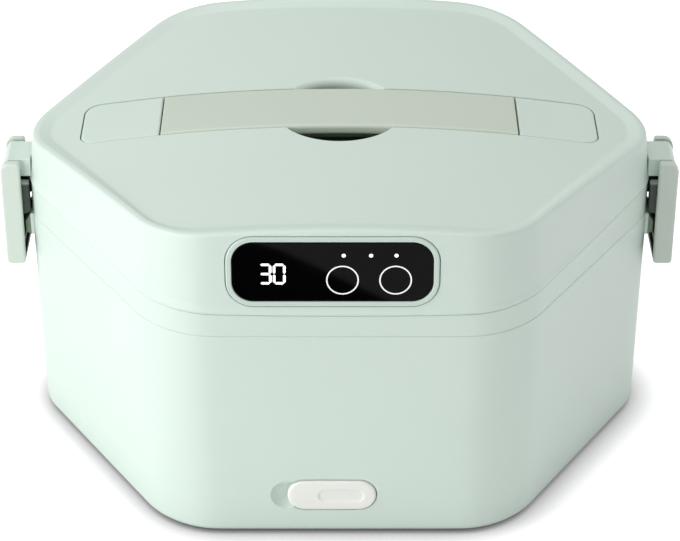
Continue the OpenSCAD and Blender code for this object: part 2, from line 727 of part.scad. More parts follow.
lug_r = 4.4;
lug_top = 3.8;
lug_low = 3;
module latch_lug() along_y(-lug_w / 2, lug_w / 2) translate([latch_pin_out, latch_pin_z]) intersection() {
    union() {
        circle(r = lug_r);
        translate([-latch_pin_out - 1.2, -lug_low]) square([latch_pin_out + 1.2, 2 * lug_r]);
    }
    translate([-2 * lug_r, -2 * lug_r]) square([4 * lug_r, 2 * lug_r + lug_top]);
}

module lid_knuckle() along_x(-knuckle_w / 2, knuckle_w / 2) {
    translate([hinge_y, hinge_z]) circle(r = knuckle_r);
    polygon([[hinge_y - 1, hinge_z + 1], [hinge_y + knuckle_r, hinge_z], [hinge_y + knuckle_r, hinge_z + 2],
        [rear_y - 0.2, seam_z + 12], [rear_y - 1.2, seam_z + 12], [rear_y - 1.2, seam_z + 1.8],
        [hinge_y - knuckle_r + 0.8, hinge_z + 2]]);
}

// Lid panel, gasket and screws
gasket_in = panel_in + 0.5;
gasket_w = 1.8;
gasket_groove = 0.8;
module lid_panel() placed() color([0.85, 0.87, 0.86]) difference() {
    plan_slab(panel_in, panel_z, panel_t);
    plan_ring(gasket_in - seat_gap, gasket_in + gasket_w + seat_gap, panel_z - 1, 1 + gasket_groove);
    at_lid_screws() translate([0, 0, panel_z - 1]) cylinder(d = screw_d + 2 * seat_gap, h = panel_t + 2);
}

module lid_gasket() placed() color(silicone) plan_ring(gasket_in, gasket_in + gasket_w,
    deck_z + well_t + move_gap, panel_z + gasket_groove - deck_z - well_t - move_gap);

module lid_screws() placed() color(steel) at_lid_screws() translate([0, 0, panel_z]) screw(7, 2.8, 0.9);

// Display
frame_ledge = 1.5;
module display_frame() placed() color([0.78, 0.87, 0.82]) on_front() difference() {
    union() {
        translate([0, 0, -frame_d]) linear_extrude(height = frame_d + display_proud - 0.3)
            rounded(display_w, display_h, display_r);
        translate([0, 0, -frame_d]) linear_extrude(height = frame_d + display_proud)
            rounded(display_w - 0.6, display_h - 0.6, display_r - 0.3);
    }
    translate([0, 0, -window_t - seat_gap]) linear_extrude(height = 10)
        rounded(window_w, window_h, window_r);
    translate([0, 0, -frame_d - 1]) linear_extrude(height = 10)
        rounded(window_w - 2 * frame_ledge, window_h - 2 * frame_ledge, window_r - frame_ledge);
}

module display_window() placed() color([0.03, 0.03, 0.035]) on_front() translate([0, 0, -window_t])
    linear_extrude(height = window_t + display_proud - 0.1)
    rounded(window_w - 2 * seat_gap, window_h - 2 * seat_gap, window_r - seat_gap);

display_board_w = 58;
display_board_h = 17;
display_board_back = frame_d + pad_back + 2;
chip_x = -6;
chip_w = 10;
led_r = 1.4;
led_h = 2.6;
module display_board() placed() on_front() translate([0, 0, -display_board_back]) {
    color(board_green) linear_extrude(height = pcb_t)
        square([display_board_w, display_board_h], center = true);
    color([0.15, 0.15, 0.16]) translate([chip_x, 0, -1.5]) linear_extrude(height = 1.6)
        square([chip_w, chip_w], center = true);
    color([0.92, 0.92, 0.92]) for (x = led_xs) on_board([x, led_y]) cylinder(r = led_r, h = led_h);
}
led_xs = [3.6, 12.4, 20.6];
led_y = 6.1;
key_xs = [3.2, 20.4];
key_y = -2.9;
digits_x = -19.2;
digits_y = -0.65;
digits_w = 13;
digits_h = 9.4;

module digit_module() placed() color([0.88, 0.88, 0.88]) on_front()
    translate([digits_x, digits_y, -display_board_back + pcb_t + seat_gap])
    linear_extrude(height = display_board_back - pcb_t - window_t - 4 * seat_gap)
    square([digits_w, digits_h], center = true);

module touch_springs() placed() color(steel) on_front() for (x = key_xs)
    translate([x, key_y, -display_board_back + pcb_t + seat_gap])
    cylinder(r = 3.6, h = display_board_back - pcb_t - window_t - 4 * seat_gap);

// Handle: the strap's top follows the crown; legs and tongues keep it under the end caps
strap_w = pocket_w - 2 * handle_gap;
strap_below = rim_drop - 0.5;
leg_w = 18;
tongue_z = pocket_floor_z + move_gap;
cap_under_z = tongue_z + tongue_t + handle_travel + move_gap;

module crown_band(below, t, half_len) intersection() {
    difference() {
        translate([0, body_h - below - crown_r]) circle(r = crown_r, $fn = 720);
        translate([0, body_h - below - crown_r]) circle(r = crown_r - t, $fn = 720);
    }
    translate([-half_len, 0]) square([2 * half_len, 2 * body_h]);
}

module handle_strap() placed() color(olive) {
    along_y(-strap_w / 2, strap_w / 2) crown_band(strap_below, strap_t, strap_l / 2);
    for (s = [-1, 1]) sided(s) along_y(-leg_w / 2, leg_w / 2) {
        polygon([[strap_l / 2 - tongue_t, tongue_z], [strap_l / 2, tongue_z],
            [strap_l / 2, crown_z(strap_l / 2, strap_below + 1)],
            [strap_l / 2 - tongue_t, crown_z(strap_l / 2, strap_below + 1)]]);
        polygon([[strap_l / 2 - tongue_t, tongue_z], [strap_l / 2 + tongue_l, tongue_z],
            [strap_l / 2 + tongue_l, tongue_z + tongue_t], [strap_l / 2 - tongue_t, tongue_z + tongue_t]]);
    }
}

cap_in = strap_l / 2 + handle_gap + 0.15;
cap_foot_in = strap_l / 2 + tongue_l + 0.6;
module handle_cap() placed() color(mint) intersection() {
    rounded_slab(pocket_l - 2 * handle_gap, pocket_w - 2 * handle_gap, pocket_r - handle_gap,
        pocket_floor_z, body_h + 5);
    along_y(-pocket_w, pocket_w) intersection() {
        translate([0, body_h - rim_drop + 0.1 - crown_r]) circle(r = crown_r, $fn = 720);
        polygon([[cap_in, cap_under_z], [cap_foot_in, cap_under_z], [cap_foot_in, pocket_floor_z],
            [pocket_l, pocket_floor_z], [pocket_l, 2 * body_h], [cap_in, 2 * body_h]]);
    }
}

module handle_cap_left() sided(-1) handle_cap();
module handle_cap_right() sided(1) handle_cap();

// Latch: a channel that hangs on its pin on both sides of the lug, with a nose under the base's catch
latch_plate_t = 1.6;
latch_face_in = latch_out - latch_plate_t;
latch_top_z = latch_pin_z + 4;
latch_top_r = 2.5;
latch_lean = 0.6;
latch_back = catch_out + move_gap;
nose_z = catch_z - 3;
plate_top_z = latch_pin_z - 3.5;
pin_cover = 0.8;

module latch_outline() polygon(concat(
    [for (a = [90:-15:0]) [latch_out - latch_top_r, latch_top_z - latch_top_r] + latch_top_r * arc_dir(a)],
    [[latch_out, latch_pin_z - 8], [latch_out - latch_lean, latch_bottom_z + 1],
        [latch_out - latch_lean - 1, latch_bottom_z], [latch_back + 1.6, latch_bottom_z],
        [latch_back, latch_bottom_z + 18], [latch_back, latch_top_z - 0.8],
        [latch_back + 0.8, latch_top_z]]));

module latch() placed() color(olive) difference() {
    along_y(-latch_w / 2, latch_w / 2) latch_outline();
    along_y(-latch_w / 2 + latch_cheek_t, latch_w / 2 - latch_cheek_t) difference() {
        polygon([[-1, latch_bottom_z + 3], [latch_face_in - latch_lean, latch_bottom_z + 3],
            [latch_face_in, latch_pin_z - 8], [latch_face_in, latch_pin_z + 0.6], [-1, latch_pin_z + 0.6]]);
        polygon([[latch_back, nose_z], [latch_back + 1, nose_z - 1.4], [latch_out, nose_z - 5],
            [latch_out, nose_z + 3], [latch_face_in - 0.6, nose_z + 2.2], [latch_back, nose_z + 1.6]]);
    }
    along_y(-lug_w / 2 - lug_gap, lug_w / 2 + lug_gap) polygon([
        [-2, latch_pin_z - 6], [latch_face_in, latch_pin_z - 6], [latch_face_in, plate_top_z],
        [latch_out + 1, plate_top_z], [latch_out + 1, latch_top_z + 1], [-2, latch_top_z + 1]]);
    translate([latch_pin_out, 0, latch_pin_z]) rotate([90, 0, 0])
        cylinder(d = pin_d + 2 * pin_fit, h = latch_w - 2 * pin_cover, center = true);
}

module latch_left() on_side(-1) latch();
module latch_right() on_side(1) latch();

module latch_pin() placed() color(steel) translate([latch_pin_out, 0, latch_pin_z]) rotate([90, 0, 0])
    cylinder(d = pin_d, h = latch_w - 2 * pin_cover - 0.4, center = true);
module latch_pin_left() on_side(-1) latch_pin();
module latch_pin_right() on_side(1) latch_pin();

module hinge_pins() placed() color(steel) for (s = [-1, 1])
    translate([s * hinge_x, hinge_y, hinge_z]) rotate([0, 90, 0])
    cylinder(d = pin_d, h = hinge_pin_l, center = true);

base_shell();
bottom_cover();
rubber_feet();
cover_screws();
base_collar();
heating_well();
insulation_blanket();
heating_plate();
thermostat();
thermal_fuse();
power_board();
power_inlet();
inlet_cover();
food_pot();
pot_lid();
pot_seal();
vent_plug();
lid_shell();
lid_panel();
lid_gasket();
lid_screws();
display_frame();
display_window();
display_board();
digit_module();
touch_springs();
handle_strap();
handle_cap_left();
handle_cap_right();
latch_left();
latch_right();
latch_pin_left();
latch_pin_right();
hinge_pins();
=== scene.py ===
"""Dresses the electric lunch box: smooth shells, handle, latches, display and inlet in their finishes.

Sizes in the classes are millimetres about the middle of the body; meshes are written in metres.
"""

import logging
import math
from dataclasses import dataclass, field
from enum import Enum
from typing import Any, Callable, Iterable, Sequence, Union

import bmesh
import bpy
from mathutils import Matrix, Vector


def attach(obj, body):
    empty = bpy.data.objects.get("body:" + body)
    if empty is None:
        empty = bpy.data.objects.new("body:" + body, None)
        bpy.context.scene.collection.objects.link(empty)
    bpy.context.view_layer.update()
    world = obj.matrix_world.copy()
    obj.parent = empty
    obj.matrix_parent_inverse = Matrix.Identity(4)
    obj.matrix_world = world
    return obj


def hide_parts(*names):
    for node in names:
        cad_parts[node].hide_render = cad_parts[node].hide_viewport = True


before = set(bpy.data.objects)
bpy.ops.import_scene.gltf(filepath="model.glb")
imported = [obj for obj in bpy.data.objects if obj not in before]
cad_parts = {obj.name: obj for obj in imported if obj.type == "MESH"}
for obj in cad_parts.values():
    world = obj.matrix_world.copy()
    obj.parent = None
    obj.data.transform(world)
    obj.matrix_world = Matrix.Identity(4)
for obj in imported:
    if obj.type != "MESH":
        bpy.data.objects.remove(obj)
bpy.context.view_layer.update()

LOG = logging.getLogger("lunch_box")
MM = 0.001
FORWARD = -3.8  # where the frame has the middle of the body, in depth
SHARP_ANGLE = math.radians(32)
FLAT_ANGLE = math.radians(0.3)
ARC_STEPS = 6
LEG_SHARE = 0.49  # how much of a leg a corner's arc may take up
BEVEL_SAMPLES = 6
BUMP = 0.6

# The driving sizes of the box, which several of the classes share
WIDTH = 220.0
DEPTH = 176.0
TOP = 122.0
SEAM = 90.5
SEAM_RISE = 4.0
SEAM_BEND = SEAM_RISE / (WIDTH / 2) ** 2
CROWN_R = 556.0
CROWN_BEND = -1 / (2 * CROWN_R)
ABOVE = 130.0
PIN_OUT = 4.4
PIN_Z = 99.6

Point = tuple[float, float]
Place = tuple[float, float, float]
Colour = tuple[float, float, float]


class Side(Enum):
    """The two ends of the box, by the sign of X."""

    LEFT = -1
    RIGHT = 1

    def flip(self) -> Matrix:
        """Gives the matrix that takes a form from the right end to this one."""
        return Matrix.Diagonal((self.value, 1, 1, 1))

    def word(self) -> str:
        """Gives the side's name as the pieces have it."""
        return self.name.lower()


class Ends(Enum):
    """How a stack of rings is closed."""

    STRIPS = "strips"
    FLAT = "flat"
    LOOP = "loop"


class Cut(Enum):
    """What a second form does to a piece."""

    AWAY = "DIFFERENCE"
    JOIN = "UNION"


class Axis(Enum):
    """The direction a flat outline is drawn out in."""

    X = "x"
    Y = "y"
    Z = "z"


def linear(colour: Colour) -> tuple[float, float, float, float]:
    """Gives the scene-linear colour of a screen colour.

    Args:
        colour: Red, green and blue from 0 to 255, as seen on a screen.

    Returns:
        Red, green, blue and alpha for a node socket.
    """
    parts = [c / 255 for c in colour]
    red, green, blue = [p / 12.92 if p <= 0.04045 else ((p + 0.055) / 1.055) ** 2.4 for p in parts]
    return red, green, blue, 1.0


def fillet(corners: Sequence[Place], closed: bool = True,
           steps: int = ARC_STEPS) -> list[Point]:
    """Rounds the corners of a line or loop with true tangent arcs.

    Args:
        corners: Each corner's two coordinates and its radius.
        closed: Whether the last corner joins the first.
        steps: How many segments each arc has.

    Returns:
        The points of the rounded line.
    """
    points: list[Point] = []
    count = len(corners)
    for index, (u, v, radius) in enumerate(corners):
        here = Vector((u, v))
        if radius <= 0 or (not closed and index in (0, count - 1)):
            points.append((u, v))
            continue
        before = Vector(corners[index - 1][:2]) - here
        after = Vector(corners[(index + 1) % count][:2]) - here
        half = before.angle(after) / 2
        most = LEG_SHARE * min(before.length, after.length)
        reach = min(radius / math.tan(half), most)
        start, end = here + before.normalized() * reach, here + after.normalized() * reach
        middle = here + (before.normalized() + after.normalized()).normalized() * reach / math.cos(half)
        first, last = start - middle, end - middle
        turn = first.angle_signed(last)
        for step in range(steps + 1):
            arm = first.copy()
            arm.rotate(Matrix.Rotation(-turn * step / steps, 2))
            points.append(tuple(middle + arm))
    return points


def inset_loop(loop: Sequence[Point], inset: float) -> list[Point]:
    """Moves every point of a counter-clockwise loop inwards.

    Args:
        loop: The loop's points.
        inset: How far each side moves in.

    Returns:
        The moved points.
    """
    moved: list[Point] = []
    for index, here in enumerate(loop):
        before = (Vector(here) - Vector(loop[index - 1])).normalized()
        after = (Vector(loop[(index + 1) % len(loop)]) - Vector(here)).normalized()
        inward = (Vector((-before.y, before.x)) + Vector((-after.y, after.x))).normalized()
        stretch = max(inward.dot(Vector((-after.y, after.x))), 0.5)
        moved.append(tuple(Vector(here) + inward * inset / stretch))
    return moved


def rounded_loop(width: float, height: float, radius: float, inset: float = 0.0,
                 steps: int = 12) -> list[Point]:
    """Gives a rectangle with round corners, set in, starting above the middle of its right side.

    Args:
        width: Full length across.
        height: Full length up.
        radius: Corner radius before the inset.
        inset: How far the whole outline is set in.
        steps: How many segments each corner has.

    Returns:
        The outline's points, counter-clockwise.
    """
    x, y, r = width / 2 - inset, height / 2 - inset, max(radius - inset, 0.05)
    return fillet([(x, y, r), (-x, y, r), (-x, -y, r), (x, -y, r)], steps=steps)


def rounded_rings(size: Place, levels: Sequence[Point], steps: int,
                  shift: float = 0.0) -> list[list[Place]]:
    """Gives a stack of rectangles with round corners.

    Args:
        size: Full length across, full length up and corner radius before the inset.
        levels: Inset and height of each ring.
        steps: How many segments each corner has.
        shift: How far the stack stands to the right.

    Returns:
        The rings, in the order of the levels.
    """
    return [[(x + shift, y, z) for x, y in rounded_loop(*size, inset, steps)] for inset, z in levels]


def pill(width: float, height: float) -> Place:
    """Gives the size of a rectangle whose ends are as good as half circles."""
    return width, height, height / 2 - 0.01


def four(x: float, y: float) -> list[Point]:
    """Gives a place and its images in both middle planes."""
    return [(sx * x, sy * y) for sx in (-1, 1) for sy in (-1, 1)]


def circle(radius: float, centre: Sequence[float], steps: int) -> list[Point]:
    """Gives the points of a circle, counter-clockwise.

    Args:
        radius: The circle's radius.
        centre: Its middle.
        steps: How many points it has.

    Returns:
        The points.
    """
    turns = [math.tau * k / steps for k in range(steps)]
    return [(centre[0] + radius * math.cos(a), centre[1] + radius * math.sin(a)) for a in turns]


def quarter(steps: int) -> list[float]:
    """Gives the angles from 0 to a quarter turn, in equal steps."""
    return [math.pi / 2 * k / steps for k in range(steps + 1)]


@dataclass
class Form:
    """Closed solids in the making, in millimetres."""

    points: list[Vector] = field(default_factory=list)
    faces: list[tuple[int, ...]] = field(default_factory=list)

    def loft(self, rings: Sequence[Sequence[Sequence[float]]], ends: Ends = Ends.STRIPS) -> "Form":
        """Adds the solid through a stack of rings.

        Args:
            rings: Rings of equally many points.
            ends: How the stack is closed.

        Returns:
            This form.
        """
        base, count, rows = len(self.points), len(rings[0]), len(rings)
        self.points += [Vector(p) for ring in rings for p in ring]
        for row in range(rows if ends is Ends.LOOP else rows - 1):
            low, high = base + row * count, base + (row + 1) % rows * count
            self.faces += [(low + j, low + (j + 1) % count, high + (j + 1) % count, high + j)
                           for j in range(count)]
        for start in () if ends is Ends.LOOP else (base, base + (rows - 1) * count):
            if ends is Ends.FLAT:
                self.faces.append(tuple(range(start, start + count)))
            else:
                self.faces += [(start + j, start + j + 1, start + count - 2 - j, start + count - 1 - j)
                               for j in range(count // 2 - 1)]
        return self

    def prism(self, loop: Sequence[Point], low: float, high: float, axis: Axis,
              edge: float = 0.0) -> "Form":
        """Adds an outline drawn out along an axis, with its two end edges rounded.

        Args:
            loop: Outline, in (y, z) for X, (x, z) for Y and (x, y) for Z, counter-clockwise.
            low: Where the solid starts along the axis.
            high: Where it ends.
            axis: The direction it is drawn out in.
            edge: Radius of the end edges.

        Returns:
            This form.
        """
        angles = quarter(4) if edge else [math.pi / 2]
        start = [(edge * (1 - math.sin(a)), low + edge * (1 - math.cos(a))) for a in angles]
        levels = start + [(inset, low + high - at) for inset, at in reversed(start)]
        order: dict[Axis, Callable[[float, float, float], Place]] = {
            Axis.X: lambda u, v, w: (w, u, v),
            Axis.Y: lambda u, v, w: (u, w, v),
            Axis.Z: lambda u, v, w: (u, v, w)}
        rings = [[order[axis](u, v, at) for u, v in inset_loop(loop, inset)] for inset, at in levels]
        return self.loft(rings, Ends.FLAT)

    def turned(self, profile: Sequence[Point], centre: Sequence[float] = (0, 0, 0),
               steps: int = 96) -> "Form":
        """Adds a profile turned about the upright axis through a centre.

        Args:
            profile: Radius and height of each point, from bottom to top.
            centre: Where the axis stands.
            steps: How many segments go round.

        Returns:
            This form.
        """
        rings = [[(x, y, centre[2] + z) for x, y in circle(r, centre, steps)] for r, z in profile]
        return self.loft(rings, Ends.FLAT)

    def post(self, radius: float, low: float, high: float, place: Point, steps: int) -> "Form":
        """Adds an upright round post.

        Args:
            radius: Its radius.
            low: Where it starts.
            high: Where it ends.
            place: Where it stands.
            steps: How many segments go round.

        Returns:
            This form.
        """
        return self.turned([(radius, low), (radius, high)], (*place, 0), steps)

    def add(self, other: "Form") -> "Form":
        """Adds the solids of another form.

        Args:
            other: The form whose solids are taken over.

        Returns:
            This form.
        """
        base = len(self.points)
        self.points += other.points
        self.faces += [tuple(base + i for i in face) for face in other.faces]
        return self

    def moved(self, matrix: Matrix) -> "Form":
        """Moves everything in the form by a matrix and gives the form."""
        self.points = [matrix @ p for p in self.points]
        return self

    def piece(self, name: str) -> bpy.types.Object:
        """Turns the form into an object of the scene.

        Args:
            name: The object's name.

        Returns:
            The new object.
        """
        mesh = bpy.data.meshes.new(name)
        build = bmesh.new()
        verts = [build.verts.new((p.x * MM, (p.y + FORWARD) * MM, p.z * MM)) for p in self.points]
        for face in self.faces:
            build.faces.new([verts[i] for i in face])
        bmesh.ops.remove_doubles(build, verts=build.verts, dist=1e-7)
        bmesh.ops.dissolve_degenerate(build, edges=build.edges, dist=1e-7)
        bmesh.ops.recalc_face_normals(build, faces=build.faces)
        build.to_mesh(mesh)
        build.free()
        obj = bpy.data.objects.new(name, mesh)
        bpy.context.scene.collection.objects.link(obj)
        return obj


def shape(piece: bpy.types.Object, form: Union[Form, bpy.types.Object], cut: Cut) -> bpy.types.Object:
    """Cuts a form out of a piece or joins it on.

    Args:
        piece: The piece that changes.
        form: The other form, which is used up.
        cut: What is done.

    Returns:
        The piece.
    """
    other = form.piece("tool") if isinstance(form, Form) else form
    step = piece.modifiers.new("cut", "BOOLEAN")
    step.solver, step.operation, step.object = "MANIFOLD", cut.value, other
    mesh = bpy.data.meshes.new_from_object(piece.evaluated_get(bpy.context.evaluated_depsgraph_get()))
    if not mesh.polygons:
        raise ValueError(f"nothing is left of {piece.name} after a cut")
    piece.modifiers.clear()
    piece.data = mesh
    bpy.data.objects.remove(other)
    return piece


def flatten(piece: bpy.types.Object) -> None:
    """Joins the parts that cuts have split flat faces into, so that these shade evenly.

    Args:
        piece: The piece whose mesh is changed.
    """
    build = bmesh.new()
    build.from_mesh(piece.data)
    bmesh.ops.dissolve_limit(build, angle_limit=FLAT_ANGLE, verts=build.verts, edges=build.edges)
    build.to_mesh(piece.data)
    build.free()


class Value:
    """A socket of a material's node sheet, written as a number in Python maths."""

    def __init__(self, sheet: "Sheet", socket: bpy.types.NodeSocket) -> None:
        """Keeps the sheet and the socket."""
        self.sheet, self.socket = sheet, socket

    def _maths(self, operation: str, first: Any, second: Any) -> "Value":
        """Adds one Math node and gives its result."""
        return self.sheet.node("ShaderNodeMath", {"operation": operation}, {0: first, 1: second})

    def __add__(self, other: Any) -> "Value":
        """Adds."""
        return self._maths("ADD", self, other)

    def __sub__(self, other: Any) -> "Value":
        """Subtracts."""
        return self._maths("SUBTRACT", self, other)

    def __rsub__(self, other: Any) -> "Value":
        """Is subtracted."""
        return self._maths("SUBTRACT", other, self)

    def __mul__(self, other: Any) -> "Value":
        """Multiplies."""
        return self._maths("MULTIPLY", self, other)

    def __gt__(self, other: Any) -> "Value":
        """Gives 1 where this is larger, otherwise 0."""
        return self._maths("GREATER_THAN", self, other)

    def __lt__(self, other: Any) -> "Value":
        """Gives 1 where this is smaller, otherwise 0."""
        return self._maths("LESS_THAN", self, other)

    __radd__ = __add__
    __rmul__ = __mul__


class Sheet:
    """The node sheet of one material or of the surroundings."""

    def __init__(self, holder: Union[bpy.types.Material, bpy.types.World]) -> None:
        """Starts an empty sheet.

        Args:
            holder: What the sheet belongs to.
        """
        holder.use_nodes = True
        self.tree = holder.node_tree
        self.tree.nodes.clear()

    def node(self, kind: str, settings: dict[str, Any] | None = None,
             values: dict[Any, Any] | None = None, output: Union[int, str] = 0) -> Value:
        """Adds a node.

        Args:
            kind: Blender's name of the node type.
            settings: Its settings, and the stops of a ramp under "stops".
            values: Values or links of its sockets, by name or number.
            output: The socket whose result is wanted.

        Returns:
            The wanted result.
        """
        made = self.tree.nodes.new(kind)
        for key, setting in (settings or {}).items():
            if key == "stops":
                ramp = made.color_ramp.elements
                for index, (place, colour) in enumerate(setting):
                    stop = ramp[index] if index < 2 else ramp.new(place)
                    stop.position, stop.color = place, colour
            else:
                setattr(made, key, setting)
        for key, value in (values or {}).items():
            if isinstance(value, Value):
                self.tree.links.new(value.socket, made.inputs[key])
            elif value is not None:
                made.inputs[key].default_value = value
        return Value(self, made.outputs[output]) if made.outputs else Value(self, made.inputs[0])

    def place(self, stretch: Place = (1, 1, 1)) -> Value:
        """Gives the place on the piece in metres, stretched along its axes."""
        spot = self.node("ShaderNodeTexCoord", output="Object")
        return self.node("ShaderNodeVectorMath", {"operation": "MULTIPLY"}, {0: spot, 1: stretch})

    def noise(self, size: float, detail: float = 3, stretch: Place = (1, 1, 1)) -> Value:
        """Gives soft noise from 0 to 1 whose cells have a size in millimetres."""
        return self.node("ShaderNodeTexNoise", None, {
            "Vector": self.place(stretch), "Scale": 1 / (size * MM), "Detail": detail}, "Fac")

    def between(self, factor: Any, first: Any, second: Any) -> Value:
        """Mixes two colours."""
        return self.node("ShaderNodeMix", {"data_type": "RGBA"}, {0: factor, 6: first, 7: second}, 2)

    def unsigned(self, number: Value) -> Value:
        """Gives a number without its sign."""
        return self.node("ShaderNodeMath", {"operation": "ABSOLUTE"}, {0: number})

    def axis(self, name: str) -> Value:
        """Gives one coordinate of the place on the piece, in metres."""
        return self.node("ShaderNodeSeparateXYZ", None, {0: self.place()}, name)

    def close(self, values: dict[str, Any]) -> None:
        """Ends the sheet with its surface, whose sockets take the given values or links."""
        surface = self.node("ShaderNodeBsdfPrincipled", None, values)
        self.node("ShaderNodeOutputMaterial", None, {"Surface": surface})


@dataclass(frozen=True)
class Finish:
    """A moulded surface: fine grain, slight clouding and softened edges."""

    slot: str
    colour: Colour
    roughness: float = 0.42
    clouding: float = 0.02
    grain: float = 0.35
    grain_depth: float = 0.010
    edge: float = 0.45
    fixed: tuple[tuple[str, Any], ...] = ()
    cloud_size: float = 38.0
    cloud_share: float = 0.7
    gloss_size: float = 14.0
    gloss_range: float = 0.10

    def tint(self, sheet: Sheet) -> Value:
        """Gives the colour, which clouds slowly over the surface and a little with its grain.

        Args:
            sheet: The sheet that the nodes go on.

        Returns:
            The colour.
        """
        slow = sheet.noise(self.cloud_size, 4) * self.cloud_share
        cloud = slow + sheet.noise(self.grain * 2, 2) * (1 - self.cloud_share)
        dark = tuple(c * (1 - 2 * self.clouding) for c in self.colour)
        light = tuple(min(c * (1 + self.clouding), 255) for c in self.colour)
        return sheet.between(cloud, linear(dark), linear(light))

    def gloss(self, sheet: Sheet) -> Value:
        """Gives the roughness, which varies a little over the surface."""
        smooth = self.roughness - self.gloss_range / 2
        return sheet.noise(self.gloss_size, 3) * self.gloss_range + smooth

    def relief(self, sheet: Sheet) -> Value:
        """Gives the height of the surface's texture, from 0 to 1."""
        return sheet.noise(self.grain, 3)

    def material(self) -> bpy.types.Material:
        """Builds the material of this finish.

        Returns:
            The material.
        """
        material = bpy.data.materials.new(self.slot)
        sheet = Sheet(material)
        soft = None
        if self.edge:
            radius = {"Radius": self.edge * MM}
            soft = sheet.node("ShaderNodeBevel", {"samples": BEVEL_SAMPLES}, radius)
        bump = sheet.node("ShaderNodeBump", None, {
            "Strength": BUMP,
            "Distance": self.grain_depth * MM,
            "Height": self.relief(sheet),
            "Normal": soft})
        values: dict[str, Any] = {
            "Base Color": self.tint(sheet),
            "Roughness": self.gloss(sheet),
            "Normal": bump}
        values.update(dict(self.fixed))
        sheet.close(values)
        return material


@dataclass(frozen=True)
class PaintedPocketShade(Finish):
    """Moulded plastic with painted shade: a dark tone painted deep inside a pocket, where shade falls."""

    # Colour of the painted shade deep in the pocket
    painted_shade: Colour = (84, 104, 84)
    pocket_from: float = 0.0
    pocket_to: float = 91.0
    pocket_half: float = 27.0
    deep_top: float = 113.0
    deep_fade: float = 5.0

    def tint(self, sheet: Sheet) -> Value:
        """Gives the plain colour above, and painted shade inside the pocket's reach, darker with depth.

        Args:
            sheet: The sheet that the nodes go on.

        Returns:
            The colour.
        """
        left = sheet.unsigned(sheet.axis("X"))
        front = sheet.unsigned(sheet.axis("Y") - FORWARD * MM)
        across = (left > self.pocket_from * MM) * (left < self.pocket_to * MM)
        inside = across * (front < self.pocket_half * MM)
        depth = (self.deep_top * MM - sheet.axis("Z")) * (1 / (self.deep_fade * MM))
        # The share of painted shade grows below deep_top, inside the pocket's reach
        share = sheet.node("ShaderNodeClamp", None, {"Value": depth}) * inside
        return sheet.between(share, super().tint(sheet), linear(self.painted_shade))


@dataclass(frozen=True)
class Brushed(Finish):
    """Metal with fine lines along X."""

    line_stretch: Place = (0.03, 1, 1)
    line_range: float = 0.16

    def relief(self, sheet: Sheet) -> Value:
        """Gives long fine lines."""
        return sheet.noise(self.grain, 4, self.line_stretch)

    def gloss(self, sheet: Sheet) -> Value:
        """Gives a roughness that follows the lines."""
        return self.relief(sheet) * self.line_range + (self.roughness - self.line_range / 2)


@dataclass(frozen=True)
class Fibrous(Finish):
    """Felt: tangled fibres, matt all over."""

    ways: tuple[Place, Place] = ((0.2, 1, 1), (1, 0.2, 1))

    def relief(self, sheet: Sheet) -> Value:
        """Gives fibres that cross each other."""
        along, across = [sheet.noise(self.grain, 6, way) for way in self.ways]
        return along * 0.5 + across * 0.5


@dataclass(frozen=True)
class Populated(Finish):
    """A circuit board: lacquered green below, and its parts above in their own colours."""

    board_top: float = 14.6
    split: float = -6.0
    relay: Colour = (44, 44, 48)
    terminals: Colour = (214, 212, 200)
    track_size: float = 2.2
    track_stretch: Place = (1, 0.25, 1)
    track_from: float = 0.55

    def tint(self, sheet: Sheet) -> Value:
        """Gives lacquer with tracks, a black relay on the left and a pale socket on the right.

        Args:
            sheet: The sheet that the nodes go on.

        Returns:
            The colour.
        """
        tracks = sheet.noise(self.track_size, 1, self.track_stretch) > self.track_from
        copper = tuple(c * 1.35 for c in self.colour)
        lacquer = sheet.between(tracks, linear(self.colour), linear(copper))
        right = sheet.axis("X") > self.split * MM
        parts = sheet.between(right, linear(self.relay), linear(self.terminals))
        return sheet.between(sheet.axis("Z") > self.board_top * MM, lacquer, parts)


SHELL = ("shell_mint", (214, 229, 220), 0.46, 0.008, 0.45, 0.006, 0.45)
MINT = Finish(*SHELL)
# The lid's handle pocket and finger scoop are darkened below 113 mm: painted shade.
LID_MINT = PaintedPocketShade(*SHELL)
# The catches under the latches are darkened: painted shade where the latch shadows them.
BASE_MINT = PaintedPocketShade(*SHELL, painted_shade=(112, 128, 106), pocket_from=110.05, pocket_to=113.0,
                     pocket_half=8.3, deep_top=84.0, deep_fade=1.0)
OLIVE = Finish("trim_olive", (205, 216, 201), 0.44, 0.01, 0.4, 0.008, 0.4)
# The inside of each latch's channel is darkened below 96 mm: painted shade between the cheeks.
LATCH = PaintedPocketShade("trim_olive", (211, 222, 212), 0.44, 0.01, 0.4, 0.008, 0.5,
                 painted_shade=(38, 50, 36), pocket_from=109.0, pocket_to=117.3,
                 pocket_half=8.95, deep_top=96.0, deep_fade=2.0)
COVER = Finish("cover_grey", (154, 168, 160), 0.55, 0.03, 0.6, 0.03, 0.3)
RUBBER = Finish("rubber", (62, 64, 64), 0.82, 0.06, 0.5, 0.03, 0.3)
STEEL = Brushed("steel", (200, 202, 204), 0.30, 0.03, 0.22, 0.004, 0.2, (("Metallic", 1.0),))
CASTING = Finish("cast_aluminium", (176, 178, 181), 0.48, 0.05, 0.9, 0.06, 0.3, (("Metallic", 1.0),))
FELT = Fibrous("felt", (226, 222, 206), 0.93, 0.06, 0.5, 0.25, 0.0)
CERAMIC = Finish("ceramic", (222, 219, 208), 0.35, 0.03, 0.7, 0.01, 0.2)
BOARD = Populated("board", (34, 104, 66), 0.34, 0.05, 0.5, 0.01, 0.0)
FRONT_BOARD = Populated("board", (34, 104, 66), 0.34, 0.05, 0.5, 0.01, 0.0, board_top=200.0)
